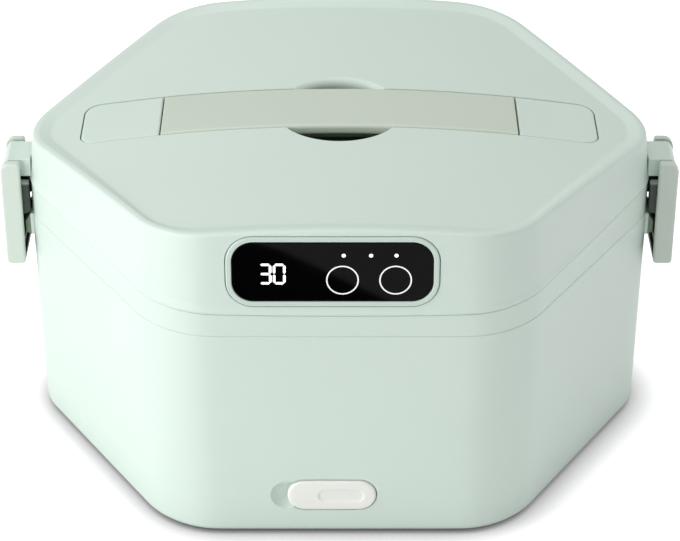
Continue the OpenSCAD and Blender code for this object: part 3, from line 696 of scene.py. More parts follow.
SOCKET = Finish("socket", (40, 40, 43), 0.4, 0.05, 0.5, 0.015, 0.25)
CREAM = Finish("silicone_cream", (253, 248, 239), 0.55, 0.012, 0.5, 0.008, 0.3, (
    ("Subsurface Weight", 0.12),))
SILICONE = Finish("silicone_grey", (216, 216, 208), 0.58, 0.03, 0.5, 0.012, 0.25)
CLEAR = Finish("clear_lid", (236, 243, 239), 0.14, 0.01, 2.0, 0.004, 0.2, (
    ("Transmission Weight", 0.82), ("IOR", 1.49)))
PANEL = Finish("panel_white", (224, 229, 226), 0.40, 0.015, 0.5, 0.008, 0.3)
RING = Finish("frame_mint", (205, 222, 212), 0.34, 0.01, 0.5, 0.004, 0.3)
WINDOW = Finish("window_black", (4, 4, 5), 0.05, 0.05, 3.0, 0.0005, 0.2, (("IOR", 1.18),),
                gloss_size=9.0, gloss_range=0.03)
LAMP = Finish("lamp_white", (244, 246, 250), 0.5, 0.01, 0.5, 0.002, 0.0, (
    ("Emission Color", linear((250, 252, 255))), ("Emission Strength", 0.85)))
# The printed key rings glow faintly though print is no lamp: painted glow.
PRINT = Finish("lamp_white", (236, 238, 240), 0.5, 0.01, 0.5, 0.002, 0.0, (
    ("Emission Color", linear((236, 238, 240))), ("Emission Strength", 0.35)))


class Workshop:
    """Gives pieces their finish, body and slot, and reports them."""

    def __init__(self) -> None:
        """Starts with no materials made."""
        self.made: dict[Finish, bpy.types.Material] = {}

    def cover(self, piece: bpy.types.Object, finish: Finish) -> None:
        """Gives every face of a piece one finish.

        Args:
            piece: The piece.
            finish: Its finish.
        """
        if finish not in self.made:
            self.made[finish] = finish.material()
        piece.data.materials.clear()
        piece.data.materials.append(self.made[finish])

    def fit(self, piece: bpy.types.Object, finish: Finish, body: str,
            stands_for: Iterable[str] = ()) -> None:
        """Smooths a new piece, dresses it and hangs it on its body.

        Args:
            piece: The piece, already in place.
            finish: Its finish.
            body: The body that it rides on.
            stands_for: The nodes that it is shown instead of.
        """
        piece.data.shade_smooth()
        piece.data.set_sharp_from_angle(angle=SHARP_ANGLE)
        weigh = piece.modifiers.new("even", "WEIGHTED_NORMAL")
        weigh.keep_sharp = True
        self.cover(piece, finish)
        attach(piece, body)
        if stands_for:
            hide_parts(*stands_for)
        LOG.info("%s: %d faces on %s", piece.name, len(piece.data.polygons), body)

    def dress(self, node: str, finish: Finish) -> None:
        """Gives a node of the frame its finish."""
        self.cover(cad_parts[node], finish)
        LOG.info("%s: dressed as %s", node, finish.slot)


@dataclass
class ShellPlan:
    """The eight-sided outline with round corners and swelled front that the shells share."""

    width: float = WIDTH
    depth: float = DEPTH
    rear_half: float = 62.0
    front_half: float = 59.0
    side_half: float = 8.0
    corner_r: float = 30.0
    side_r: float = 26.5
    swell: float = 1.5
    swell_from: float = 37.2
    swell_to: float = 70.0
    arc_steps: int = 16
    wall_steps: int = 6
    face_steps: int = 14
    inner_from: float = 4.0
    inner_to: float = 8.0

    def __post_init__(self) -> None:
        """Works out the half sizes that the walls start from."""
        self.half_w = self.width / 2
        self.half_d = self.depth / 2 - self.swell

    def _swelled(self, x: float, y: float) -> Point:
        """Moves a point of the front or rear face out by the swell there.

        Args:
            x: The point's place across.
            y: Its place in depth.

        Returns:
            The moved point.
        """
        share = (abs(x) - self.swell_from) / (self.swell_to - self.swell_from)
        rise = self.swell * math.cos(math.pi / 2 * min(max(share, 0), 1)) ** 2
        return x, y + math.copysign(rise, y)

    def _quarter(self, half: float, inset: float) -> list[Point]:
        """Gives the outline from the side's middle to the face's middle.

        Args:
            half: Half the length of the face before its corner is rounded.
            inset: How far the outline is set in.

        Returns:
            The quarter's points, with X and Y above 0.
        """
        out = Vector((self.half_d - self.side_half, self.half_w - half)).normalized()
        reach = out.dot(Vector((half, self.half_d)))
        turn = math.atan2(out.y, out.x)
        corner_y = self.half_d - self.corner_r
        corner = Vector(((reach - self.corner_r - out.y * corner_y) / out.x, corner_y))
        side_x = self.half_w - self.side_r
        side = Vector((side_x, (reach - self.side_r - out.x * side_x) / out.y))
        shares = [k / self.arc_steps for k in range(self.arc_steps + 1)]
        first = [side + (self.side_r - inset) * Vector((math.cos(turn * k), math.sin(turn * k)))
                 for k in shares]
        angles = [turn + (math.pi / 2 - turn) * k for k in shares]
        second = [corner + (self.corner_r - inset) * Vector((math.cos(a), math.sin(a)))
                  for a in angles]
        wall = [first[-1].lerp(second[0], k / self.wall_steps) for k in range(1, self.wall_steps)]
        face = [Vector((corner.x * (1 - k / self.face_steps), self.half_d - inset))
                for k in range(1, self.face_steps)]
        return [self._swelled(*p) for p in first + wall + second + face]

    def outline(self, inset: float) -> list[Point]:
        """Gives the closed outline, starting above the middle of the right side.

        Args:
            inset: How far the outline is set in.

        Returns:
            The outline's points, counter-clockwise.
        """
        share = min(max((inset - self.inner_from) / (self.inner_to - self.inner_from), 0), 1)
        rear = self._quarter(self.rear_half, inset)
        front = self._quarter(self.front_half + share * (self.rear_half - self.front_half), inset)
        return (rear + [(-x, y) for x, y in reversed(rear)] + [(-x, -y) for x, y in front]
                + [(x, -y) for x, y in reversed(front)])

    def ring(self, inset: float, z: float, bend: float = 0.0) -> list[Place]:
        """Gives the outline at a height that changes with the square of X."""
        return [(x, y, z + bend * x * x) for x, y in self.outline(inset)]

    def stack(self, corners: Sequence[tuple[float, float, float, float]],
              closed: bool = False) -> list[list[Place]]:
        """Gives the rings of a rounded profile.

        Args:
            corners: Inset, height, bend and radius of each corner of the profile.
            closed: Whether the profile is a loop.

        Returns:
            The rings, in the profile's order.
        """
        rounded = fillet([(i, z, r) for i, z, _, r in corners], closed)
        bends: list[float] = []
        for index, (_, _, bend, radius) in enumerate(corners):
            plain = radius <= 0 or (not closed and index in (0, len(corners) - 1))
            bends += [bend] * (1 if plain else ARC_STEPS + 1)
        return [self.ring(i, z, b) for (i, z), b in zip(rounded, bends)]


def crown(x: float, below: float) -> float:
    """Gives the height of the crowned top at X, so far below its crest line."""
    return TOP - below + CROWN_BEND * x * x


@dataclass(frozen=True)
class Hinge:
    """Where the hinge's axis runs behind the box, and how big its knuckles are."""

    x: float = 38.0
    y: float = 92.0
    z: float = 88.0
    radius: float = 3.6
    base_half: float = 3.5
    base_offset: float = 10.8
    lid_half: float = 7.0
    sunk: float = 1.2
    base_web_low: float = 66.5
    base_web_top: float = 81.9
    lid_web_low: float = 92.3
    lid_web_top: float = 102.5

    def eye(self) -> list[Point]:
        """Gives the round of a knuckle, in depth and height."""
        return circle(self.radius, (self.y, self.z), 40)


@dataclass
class HeatedBase:
    """The lower shell with its bosses, catches and knuckles."""

    shop: Workshop
    plan: ShellPlan
    hinge: Hinge
    foot: float = 1.5
    taper: float = 0.6
    edge_r: float = 2.2
    wall: float = 2.4
    top: float = 82.5
    rim: float = 8.7
    ledge: float = 13.5
    ledge_top: float = 6.4
    ledge_low: float = 3.95
    boss_x: float = 48.0
    boss_y: float = 72.0
    boss_r: float = 3.7
    boss_low: float = 3.9
    boss_top: float = 16.0
    hole_r: float = 1.5
    hole_low: float = 1.0
    hole_top: float = 14.0
    catch_z: float = 74.5
    catch_half: float = 8.0
    catch_out: float = 2.0
    catch_top: float = 7.6

    def shell(self) -> bpy.types.Object:
        """Builds the lower shell.

        Returns:
            The shell.
        """
        piece = Form().loft(self.plan.stack([
            (self.rim, self.foot, 0, 0.5),
            (self.taper, self.foot, 0, self.edge_r),
            (0, self.top, 0, 0.5),
            (self.wall, self.top, 0, 0.3),
            (self.wall + self.taper, self.ledge_top, 0, 0.6),
            (self.ledge, self.ledge_top, 0, 0.3),
            (self.ledge, self.ledge_low, 0, 0.3),
            (self.rim, self.ledge_low, 0, 0.2)], closed=True), Ends.LOOP).piece("base_skin")
        for place in four(self.boss_x, self.boss_y):
            shape(piece, Form().post(self.boss_r, self.boss_low, self.boss_top, place, 40), Cut.JOIN)
            shape(piece, Form().post(self.hole_r, self.hole_low, self.hole_top, place, 32), Cut.AWAY)
        for side in Side:
            shape(piece, self.catch(side), Cut.JOIN)
            for knuckle in self.knuckles(side):
                shape(piece, knuckle, Cut.JOIN)
        return piece

    def catch(self, side: Side) -> Form:
        """Gives the catch that a latch's nose goes under.

        Args:
            side: The end of the box that it is on.

        Returns:
            The catch's form.
        """
        out, top = self.catch_out, self.catch_top
        loop = [(self.plan.half_w + x, self.catch_z + z) for x, z in
                ((-1.2, -1), (0, -1), (out, 0), (out, 4.5), (0, top), (-1.2, top))]
        form = Form().prism(loop, -self.catch_half, self.catch_half, Axis.Y, 0.3)
        return form.moved(side.flip())

    def knuckles(self, side: Side) -> list[Form]:
        """Gives the base's two knuckles of a hinge, each in its two parts.

        Args:
            side: The end of the box that the hinge is on.

        Returns:
            The parts' forms.
        """
        hinge, rear = self.hinge, self.plan.depth / 2
        tip = hinge.y + hinge.radius
        web = [(rear - hinge.sunk, hinge.base_web_low), (rear, hinge.base_web_low), (tip, hinge.z - 1),
               (tip, hinge.z), (hinge.y, hinge.z), (rear - 0.4, hinge.base_web_top),
               (rear - hinge.sunk, hinge.base_web_top)]
        middles = [side.value * hinge.x + offset for offset in (-hinge.base_offset, hinge.base_offset)]
        return [Form().prism(loop, middle - hinge.base_half, middle + hinge.base_half, Axis.X, 0.3)
                for middle in middles for loop in (hinge.eye(), web)]

    def build(self, inlet: "Inlet") -> None:
        """Builds, cuts and dresses the base.

        Args:
            inlet: The inlet that is cut into its front.
        """
        shell = self.shell()
        inlet.cut(shell)
        self.shop.fit(shell, BASE_MINT, "base", ["base_shell"])


@dataclass
class Collar:
    """The set-back band between the shells, with its deck and the lip inside the lid."""

    shop: Workshop
    plan: ShellPlan
    back: float = 0.25
    top: float = 90.4
    seat: float = 82.5
    foot: float = 78.0
    foot_in: float = 2.5
    lip_out: float = 3.0
    lip_in: float = 5.0
    lip_top: float = 92.0
    lip_edge: float = 0.6
    deck_top: float = 88.0
    deck_low: float = 85.5
    wall_in: float = 4.6
    hub_out: float = 10.5
    hub_in: float = 12.5

    def build(self) -> None:
        """Builds and dresses the collar."""
        bend = SEAM_BEND
        band = [
            (self.foot_in, self.foot, 0, 0.2),
            (self.foot_in, self.seat, 0, 0),
            (self.back, self.seat, 0, 0),
            (self.back, self.top, bend, 0.3)]
        lip = [
            (self.lip_out, self.top, bend, 0.2),
            (self.lip_out, self.lip_top - self.lip_edge, bend, 0.2),
            (self.lip_out + self.lip_edge, self.lip_top, bend, 0.2),
            (self.lip_in, self.lip_top, bend, 0.2)]
        deck = [
            (self.lip_in, self.deck_top, 0, 0.3),
            (self.hub_in, self.deck_top, 0, 0.3),
            (self.hub_in, self.foot, 0, 0.2),
            (self.hub_out, self.foot, 0, 0.2),
            (self.hub_out, self.deck_low, 0, 0.3),
            (self.wall_in, self.deck_low, 0, 0.3),
            (self.wall_in, self.foot, 0, 0.2)]
        rings = self.plan.stack(band + lip + deck, closed=True)
        self.shop.fit(Form().loft(rings, Ends.LOOP).piece("collar_skin"), MINT, "base", ["base_collar"])


@dataclass
class Inlet:
    """The covered inlet low in the front, with its thumb scoop."""

    shop: Workshop
    x: float = -2.6
    face_y: float = -87.516
    z: float = 17.2
    width: float = 30.3
    height: float = 12.1
    thick: float = 1.8
    proud: float = 0.5
    edge: float = 0.9
    foot_edge: float = 0.3
    gap: float = 0.35
    mouth: tuple[Point, ...] = (
        (0, -2.1), (0, -0.35), (-0.08, -0.17), (-0.25, -0.02), (-0.6, 0.02), (-0.6, 10))
    pad_half_l: float = 26.75
    pad_half_w: float = 9.55
    pad_from: float = 1.2
    pad_to: float = 7.7
    hole_l: float = 17.0
    hole_w: float = 9.4
    thumb_r: float = 5.8
    thumb_sphere: float = 7.2
    grip: Place = (16.0, 5.4, 2.6)
    grip_shift: float = 3.2
    grip_steps: tuple[Point, ...] = ((-0.3, 0), (0, 0.05), (0.25, 0.2), (0.45, 0.42), (0.8, 0.5))

    def placed(self) -> Matrix:
        """Gives the matrix from the cover's own frame, facing out, to the box."""
        return Matrix.Translation((self.x, self.face_y, self.z)) @ Matrix.Rotation(math.pi / 2, 4, "X")

    def pocket(self) -> Form:
        """Gives the pocket that the cover sits in, with a softened mouth."""
        size = pill(self.width + 2 * self.gap, self.height + 2 * self.gap)
        return Form().loft(rounded_rings(size, self.mouth, 16), Ends.FLAT)

    def cut(self, shell: bpy.types.Object) -> None:
        """Joins the pad on inside the shell and cuts the pocket, the socket hole and the thumb scoop.

        Args:
            shell: The base's shell.
        """
        left, right = self.x - self.pad_half_l, self.x + self.pad_half_l
        low, high = self.z - self.pad_half_w, self.z + self.pad_half_w
        pad = Form().prism([(right, high), (left, high), (left, low), (right, low)],
                           self.face_y + self.pad_from, self.face_y + self.pad_to, Axis.Y)
        shape(shell, pad, Cut.JOIN)
        hole = Form().prism(rounded_loop(*pill(self.hole_l, self.hole_w)), -15, 5, Axis.Z)
        ball, lift = self.thumb_sphere, math.sqrt(self.thumb_sphere ** 2 - self.thumb_r ** 2)
        arc = [math.pi * k / 32 for k in range(33)]
        profile = [(max(ball * math.sin(a), 0.01), -ball * math.cos(a)) for a in arc]
        scoop = Form().turned(profile, (-self.width / 2, 0, lift), 64)
        for form in (self.pocket(), hole, scoop):
            shape(shell, form.moved(self.placed()), Cut.AWAY)

    def build(self) -> None:
        """Builds and dresses the cover: a pill with round edges and a shallow grip."""
        top, edge = self.proud, self.edge
        levels = [(self.foot_edge, -self.thick), (0, -self.thick + self.foot_edge)]
        levels += [(edge * (1 - math.cos(a)), top - edge * (1 - math.sin(a))) for a in quarter(6)]
        rings = rounded_rings(pill(self.width, self.height), levels, 16)
        floors = [(inset, top - depth) for inset, depth in self.grip_steps]
        rings += rounded_rings(self.grip, floors, 16, self.grip_shift)
        cover = Form().loft(rings, Ends.STRIPS).moved(self.placed()).piece("inlet_flap_skin")
        self.shop.fit(cover, CREAM, "inlet_flap", ["inlet_cover"])


@dataclass
class Display:
    """The frame, the black window and what shines through it or is printed on it."""

    shop: Workshop
    x: float = -2.2
    y: float = -88.0
    z: float = 107.05
    lean: float = 1.8 / 29.9
    size: Place = (69.3, 25.6, 9.0)
    rim: float = 1.9
    depth: float = 3.2
    back: float = 2.1
    back_rim: float = 1.5
    proud: float = 0.2
    window_proud: float = 0.1
    window_back: float = 2.0
    window_gap: float = 0.1
    digit_w: float = 4.15
    digit_h: float = 7.65
    digit_y: float = -0.65
    stroke: float = 0.85
    joint: float = 0.14
    left_digit: float = -21.8
    right_digit: float = -17.25
    keys: tuple[float, ...] = (3.2, 20.4)
    key_y: float = -2.9
    key_r: float = 5.3
    key_line: float = 0.44
    lamps: tuple[float, ...] = (3.6, 12.4, 20.6)
    lamp_y: float = 6.1
    lamp_r: float = 0.66
    sunk: float = 0.1
    raised: float = 0.02

    def placed(self) -> Matrix:
        """Gives the matrix from the display's own frame, facing out of the front, to the box."""
        place = (self.x, self.lean * (self.z - SEAM) + self.y, self.z)
        return Matrix.Translation(place) @ Matrix.Rotation(math.pi / 2 - math.atan(self.lean), 4, "X")

    def surround(self) -> bpy.types.Object:
        """Builds the frame with its rounded shoulders.

        Returns:
            The frame.
        """
        inner, outer = self.rim, self.rim + self.back_rim
        profile = fillet([
            (0, -self.depth, 0.1), (0, self.proud, 0.55), (inner, self.proud, 0.35),
            (inner, -self.back, 0.1), (outer, -self.back, 0.1), (outer, -self.depth, 0.1)])
        rings = rounded_rings(self.size, profile, 14)
        return Form().loft(rings, Ends.LOOP).moved(self.placed()).piece("display_ring")

    def window(self) -> bpy.types.Object:
        """Builds the window slab.

        Returns:
            The window.
        """
        inset, top = self.rim + self.window_gap, self.window_proud
        levels = [(inset, -self.window_back), (inset, top - 0.3), (inset + 0.1, top - 0.08),
                  (inset + 0.3, top)]
        rings = rounded_rings(self.size, levels, 14)
        return Form().loft(rings, Ends.FLAT).moved(self.placed()).piece("window_glass")

    def segment(self, start: Vector, end: Vector) -> list[Point]:
        """Gives one bar of a digit with pointed ends.

        Args:
            start: Where its middle line starts.
            end: Where that ends.

        Returns:
            The bar's outline.
        """
        along = (end - start).normalized()
        side, half = Vector((-along.y, along.x)), self.stroke / 2
        first, last = start + along * self.joint, end - along * self.joint
        return [tuple(p) for p in (
            first, first + (along - side) * half, last - (along + side) * half,
            last, last - (along - side) * half, first + (along + side) * half)]

    def digits(self) -> bpy.types.Object:
        """Builds the two lit digits, bar by bar, in the window's face.

        Returns:
            The digits.
        """
        form = Form()
        x, y = (self.digit_w - self.stroke) / 2, (self.digit_h - self.stroke) / 2
        bars = {
            "top": ((-x, y), (x, y)),
            "middle": ((-x, 0), (x, 0)),
            "bottom": ((-x, -y), (x, -y)),
            "upper_right": ((x, 0), (x, y)),
            "lower_right": ((x, -y), (x, 0)),
            "upper_left": ((-x, 0), (-x, y)),
            "lower_left": ((-x, -y), (-x, 0))}
        unlit = {self.left_digit: ("upper_left", "lower_left"), self.right_digit: ("middle",)}
        low, high = self.window_proud - self.sunk, self.window_proud + self.raised
        for middle, dark in unlit.items():
            shift = Vector((middle, self.digit_y))
            for start, end in [ends for name, ends in bars.items() if name not in dark]:
                form.prism(self.segment(Vector(start) + shift, Vector(end) + shift), low, high, Axis.Z)
        return form.moved(self.placed()).piece("digits")

    def marks(self) -> bpy.types.Object:
        """Builds the two printed key rings.

        Returns:
            The rings.
        """
        form = Form()
        low, high = self.window_proud - self.sunk, self.window_proud + self.raised
        outer, inner = self.key_r, self.key_r - self.key_line
        profile = ((outer, low), (outer, high), (inner, high), (inner, low))
        for key in self.keys:
            rings = [[(x, y, z) for x, y in circle(r, (key, self.key_y), 72)] for r, z in profile]
            form.loft(rings, Ends.LOOP)
        return form.moved(self.placed()).piece("key_rings")

    def dots(self) -> bpy.types.Object:
        """Builds the three round lamps above the keys.

        Returns:
            The lamps.
        """
        form = Form()
        low, side = self.window_proud - self.sunk, self.window_proud + self.raised / 2
        profile = [(self.lamp_r, low), (self.lamp_r, side), (self.lamp_r - 0.1, side + self.raised)]
        for x in self.lamps:
            form.turned(profile, (x, self.lamp_y, 0), 24)
        return form.moved(self.placed()).piece("lamp_dots")

    def build(self) -> None:
        """Builds and dresses the display."""
        self.shop.fit(self.surround(), RING, "lid", ["display_frame"])
        self.shop.fit(self.window(), WINDOW, "lid", ["display_window"])
        self.shop.fit(self.digits(), LAMP, "lid")
        self.shop.fit(self.marks(), PRINT, "lid")
        self.shop.fit(self.dots(), LAMP, "lid")


@dataclass
class Lid:
    """The crowned lid shell."""

    shop: Workshop
    plan: ShellPlan
    hinge: Hinge
    taper: float = 1.8
    edge_r: float = 1.6
    rim_top: float = 1.0
    slope: float = 4.3
    drop: float = 1.3
    wall: float = 2.4
    flare: float = 0.4
    under_edge: float = 117.4
    under_top: float = 118.3
    under_in: float = 7.4
    pocket: Place = (181.0, 28.4, 6.0)
    pocket_floor: float = 99.4
    scoops: tuple[Place, ...] = ((21.5, -2.9, 0.6), (19.2, 1.4, 3.2))
    scoop_floor: float = 101.0
    scoop_foot_r: float = 2.5
    floor: float = 2.0
    display_pad: Place = (72.7, 27.2, 9.8)
    display_pad_back: float = 5.2
    frame_seat: Place = (69.8, 26.1, 9.25)
    frame_seat_back: float = 3.4
    window_hole: Place = (59.5, 15.8, 2.0)
    window_hole_back: float = 7.2
    lug_half: float = 6.8
    lug_r: float = 4.4
    lug_top: float = 3.8
    lug_low: float = 3.0
    bosses: tuple[Point, ...] = ((50.0, 60.0), (86.0, 24.0))
    boss_r: float = 3.6
    boss_low: float = 96.4

    def outer(self) -> Form:
        """Gives the outer form: leaning walls, round rim, slope and crowned top.

        Returns:
            The form.
        """
        flat = self.taper + self.edge_r + self.rim_top
        inner, crest = flat + self.slope, TOP - self.drop
        return Form().loft(self.plan.stack([
            (3.0, SEAM, SEAM_BEND, 0),
            (0.0, SEAM, SEAM_BEND, 0.6),
            (0.0, SEAM + 1.2, SEAM_BEND, 1.0),
            (self.flare + 0.15, SEAM + 3.6, SEAM_BEND, 8.0),
            (self.taper + 0.1, TOP, CROWN_BEND, self.edge_r),
            (flat, TOP, CROWN_BEND, 2.4),
            (inner, crest, CROWN_BEND, 5.0),
            (inner + 3.0, crest, CROWN_BEND, 0)]))

    def hollow(self, display: Display) -> bpy.types.Object:
        """Gives the space inside the lid, less the walls of the pocket, the scoop and the display.

        Args:
            display: The display that the pad stands behind.

        Returns:
            The space.
        """
        space = Form().loft([
            self.plan.ring(self.wall, SEAM - 1, SEAM_BEND),
            self.plan.ring(self.wall + self.taper, self.under_edge, CROWN_BEND),
            self.plan.ring(self.under_in, self.under_top, CROWN_BEND)]).piece("hollow")
        length, width, radius = self.pocket
        loop = rounded_loop(length + 2 * self.wall, width + 2 * self.wall, radius + self.wall)
        shape(space, Form().prism(loop, self.pocket_floor - self.floor, ABOVE, Axis.Z), Cut.AWAY)
        for radius, middle, _ in self.scoops:
            reach, low = radius + self.wall, self.scoop_floor - self.floor
            block = Form().post(reach, low, ABOVE, (0, middle), 160)
            shape(space, block, Cut.AWAY)
        pad = Form().prism(rounded_loop(*self.display_pad), -self.display_pad_back, 3, Axis.Z)
        shape(space, pad.moved(display.placed()), Cut.AWAY)
        for boss in self.bosses:
            for place in four(*boss):
                shape(space, Form().post(self.boss_r, self.boss_low, ABOVE, place, 32), Cut.AWAY)
        return space

    def bowl(self, radius: float, middle: float, edge: float) -> Form:
        """Gives one of the two round bowls of the finger scoop.

        Args:
            radius: Radius of the bowl.
            middle: Depth of its centre.
            edge: Radius of the softened mouth.

        Returns:
            The bowl's form.
        """
        foot, lip = self.scoop_foot_r, TOP - self.drop - edge + 0.2
        profile: list[Point] = []
        for a in quarter(10):
            rise = foot * (1 - math.cos(a))
            profile.append((radius - foot * (1 - math.sin(a)), self.scoop_floor + rise))
        for a in quarter(10):
            profile.append((radius + edge * (1 - math.cos(a)), lip + edge * math.sin(a)))
        profile.append((radius + edge, ABOVE))
        return Form().turned(profile, (0, middle, 0), 160)

    def lug(self, side: Side) -> Form:
        """Gives the lug between a latch's cheeks, round at its outer side and flat on top.

        Args:
            side: The end of the box that it is on.

        Returns:
            The lug's form.
        """
        r, top, low, back = self.lug_r, self.lug_top, self.lug_low, -PIN_OUT - 1.2
        start, end = math.asin(top / r), -math.asin(low / r)
        angles = [end + (start - end) * k / 12 for k in range(13)]
        nose = [(r * math.cos(a), r * math.sin(a)) for a in angles]
        corners = nose + [(back, top), (back, -low)]
        loop = [(self.plan.half_w + PIN_OUT + x, PIN_Z + z) for x, z in corners]
        return Form().prism(loop, -self.lug_half, self.lug_half, Axis.Y, 0.35).moved(side.flip())

    def knuckle(self, side: Side) -> list[Form]:
        """Gives the lid's knuckle of a hinge, in its two parts.

        Args:
            side: The end of the box that the hinge is on.

        Returns:
            The parts' forms.
        """
        hinge, rear = self.hinge, self.plan.depth / 2
        y, z, tip, middle = hinge.y, hinge.z, hinge.y + hinge.radius, side.value * hinge.x
        web = [(y - 1, z + 1), (tip, z), (tip, z + 2), (rear - 0.2, hinge.lid_web_top),
               (rear - hinge.sunk, hinge.lid_web_top), (rear - hinge.sunk, hinge.lid_web_low),
               (y - 2.8, z + 2)]
        return [Form().prism(loop, middle - hinge.lid_half, middle + hinge.lid_half, Axis.X)
                for loop in (hinge.eye(), web)]

    def build(self, display: Display) -> None:
        """Builds, cuts and dresses the lid.

        Args:
            display: The display that the lid holds.
        """
        piece = self.outer().piece("lid_skin")
        shape(piece, self.hollow(display), Cut.AWAY)
        pocket = Form().prism(rounded_loop(*self.pocket), self.pocket_floor, ABOVE, Axis.Z)
        shape(piece, pocket, Cut.AWAY)
        for scoop in self.scoops:
            shape(piece, self.bowl(*scoop), Cut.AWAY)
        for size, back in ((self.frame_seat, self.frame_seat_back),
                           (self.window_hole, self.window_hole_back)):
            opening = Form().prism(rounded_loop(*size), -back, 5, Axis.Z)
            shape(piece, opening.moved(display.placed()), Cut.AWAY)
        for side in Side:
            for form in [self.lug(side)] + self.knuckle(side):
                shape(piece, form, Cut.JOIN)
        self.shop.fit(piece, LID_MINT, "lid", ["lid_shell"])


@dataclass
class Handle:
    """The strap across the lid and the two caps over its hidden ends."""

    shop: Workshop
    half_l: float = 62.0
    half_w: float = 13.85
    thick: float = 4.0
    below: float = 0.8
    edge: float = 1.3
    end_edge: float = 0.3
    camber: float = 0.15
    tongue_z: float = 99.7
    tongue_t: float = 1.8
    tongue_l: float = 12.0
    tongue_half: float = 9.0
    cap_in: float = 62.5
    cap_out: float = 90.15
    cap_foot: float = 99.5
    cap_below: float = 1.2
    cap_r: float = 5.65
    cap_inner_r: float = 0.3
    cap_edge: float = 0.6
    room_in: float = 62.0
    room_out: float = 74.6
    room_low: float = 99.0
    room_top: float = 111.8
    room_half: float = 15.0

    def section(self, x: float, inset: float) -> list[Place]:
        """Gives the strap's rounded section.

        Args:
            x: Where the section stands.
            inset: How far it is set in.

        Returns:
            The section's points.
        """
        loop = rounded_loop(2 * self.half_w, self.thick, self.edge, inset, 5)
        top = crown(x, self.below)
        sag = [self.camber * (y / self.half_w) ** 2 if z > 0 else 0 for y, z in loop]
        return [(x, y, top - self.thick / 2 + z - low) for (y, z), low in zip(loop, sag)]

    def strap(self) -> bpy.types.Object:
        """Builds the strap with its legs and tongues.

        Returns:
            The strap.
        """
        half, edge, thick = self.half_l, self.end_edge, self.tongue_t
        ends = [(half - edge * (1 - math.cos(a)), edge * (1 - math.sin(a))) for a in quarter(4)]
        stations = [(-x, inset) for x, inset in ends]
        stations += [(half * k / 16, 0.0) for k in range(-15, 16)]
        stations += list(reversed(ends))
        form = Form().loft([self.section(x, inset) for x, inset in stations], Ends.FLAT)
        foot, out, top = self.tongue_z, half + self.tongue_l, crown(half, self.below + 1)
        loop = fillet([
            (half, foot + thick, 0.3), (half, top, 0), (half - thick, top, 0), (half - thick, foot, 0.8),
            (out, foot, 0.3), (out, foot + thick, 0.3)], steps=4)
        for side in Side:
            leg = Form().prism(loop, -self.tongue_half, self.tongue_half, Axis.Y, 0.3)
            form.add(leg.moved(side.flip()))
        return form.piece("strap")

    def cap_ring(self, inset: float, below: float) -> list[Place]:
        """Gives a cap's outline at a height that follows the lid's crown.

        Args:
            inset: How far the outline is set in.
            below: How far it lies below the crest line.

        Returns:
            The outline's points.
        """
        left, right, y = self.cap_in + inset, self.cap_out - inset, self.half_w - inset
        r, small = max(self.cap_r - inset, 0.1), self.cap_inner_r
        loop = fillet([(right, y, r), (left, y, small), (left, -y, small), (right, -y, r)], steps=8)
        return [(px, py, crown(px, below)) for px, py in loop]

    def cap(self, side: Side) -> bpy.types.Object:
        """Builds one cap, crowned with the lid and open below for the tongue.

        Args:
            side: The end of the box that it is on.

        Returns:
            The cap.
        """
        edge, below = self.cap_edge, self.cap_below
        rings = [[(x, y, self.cap_foot) for x, y, _ in self.cap_ring(0, 0)]]
        for a in quarter(5):
            rings.append(self.cap_ring(edge * (1 - math.cos(a)), below + edge * (1 - math.sin(a))))
        piece = Form().loft(rings).moved(side.flip()).piece(f"cap_{side.word()}")
        room = [(self.room_out, self.room_low), (self.room_out, self.room_top),
                (self.room_in, self.room_top), (self.room_in, self.room_low)]
        form = Form().prism(room, -self.room_half, self.room_half, Axis.Y)
        return shape(piece, form.moved(side.flip()), Cut.AWAY)

    def build(self) -> None:
        """Builds and dresses the handle."""
        self.shop.fit(self.strap(), OLIVE, "handle", ["handle_strap"])
        for side in Side:
            self.shop.fit(self.cap(side), MINT, "lid", [f"handle_cap_{side.word()}"])


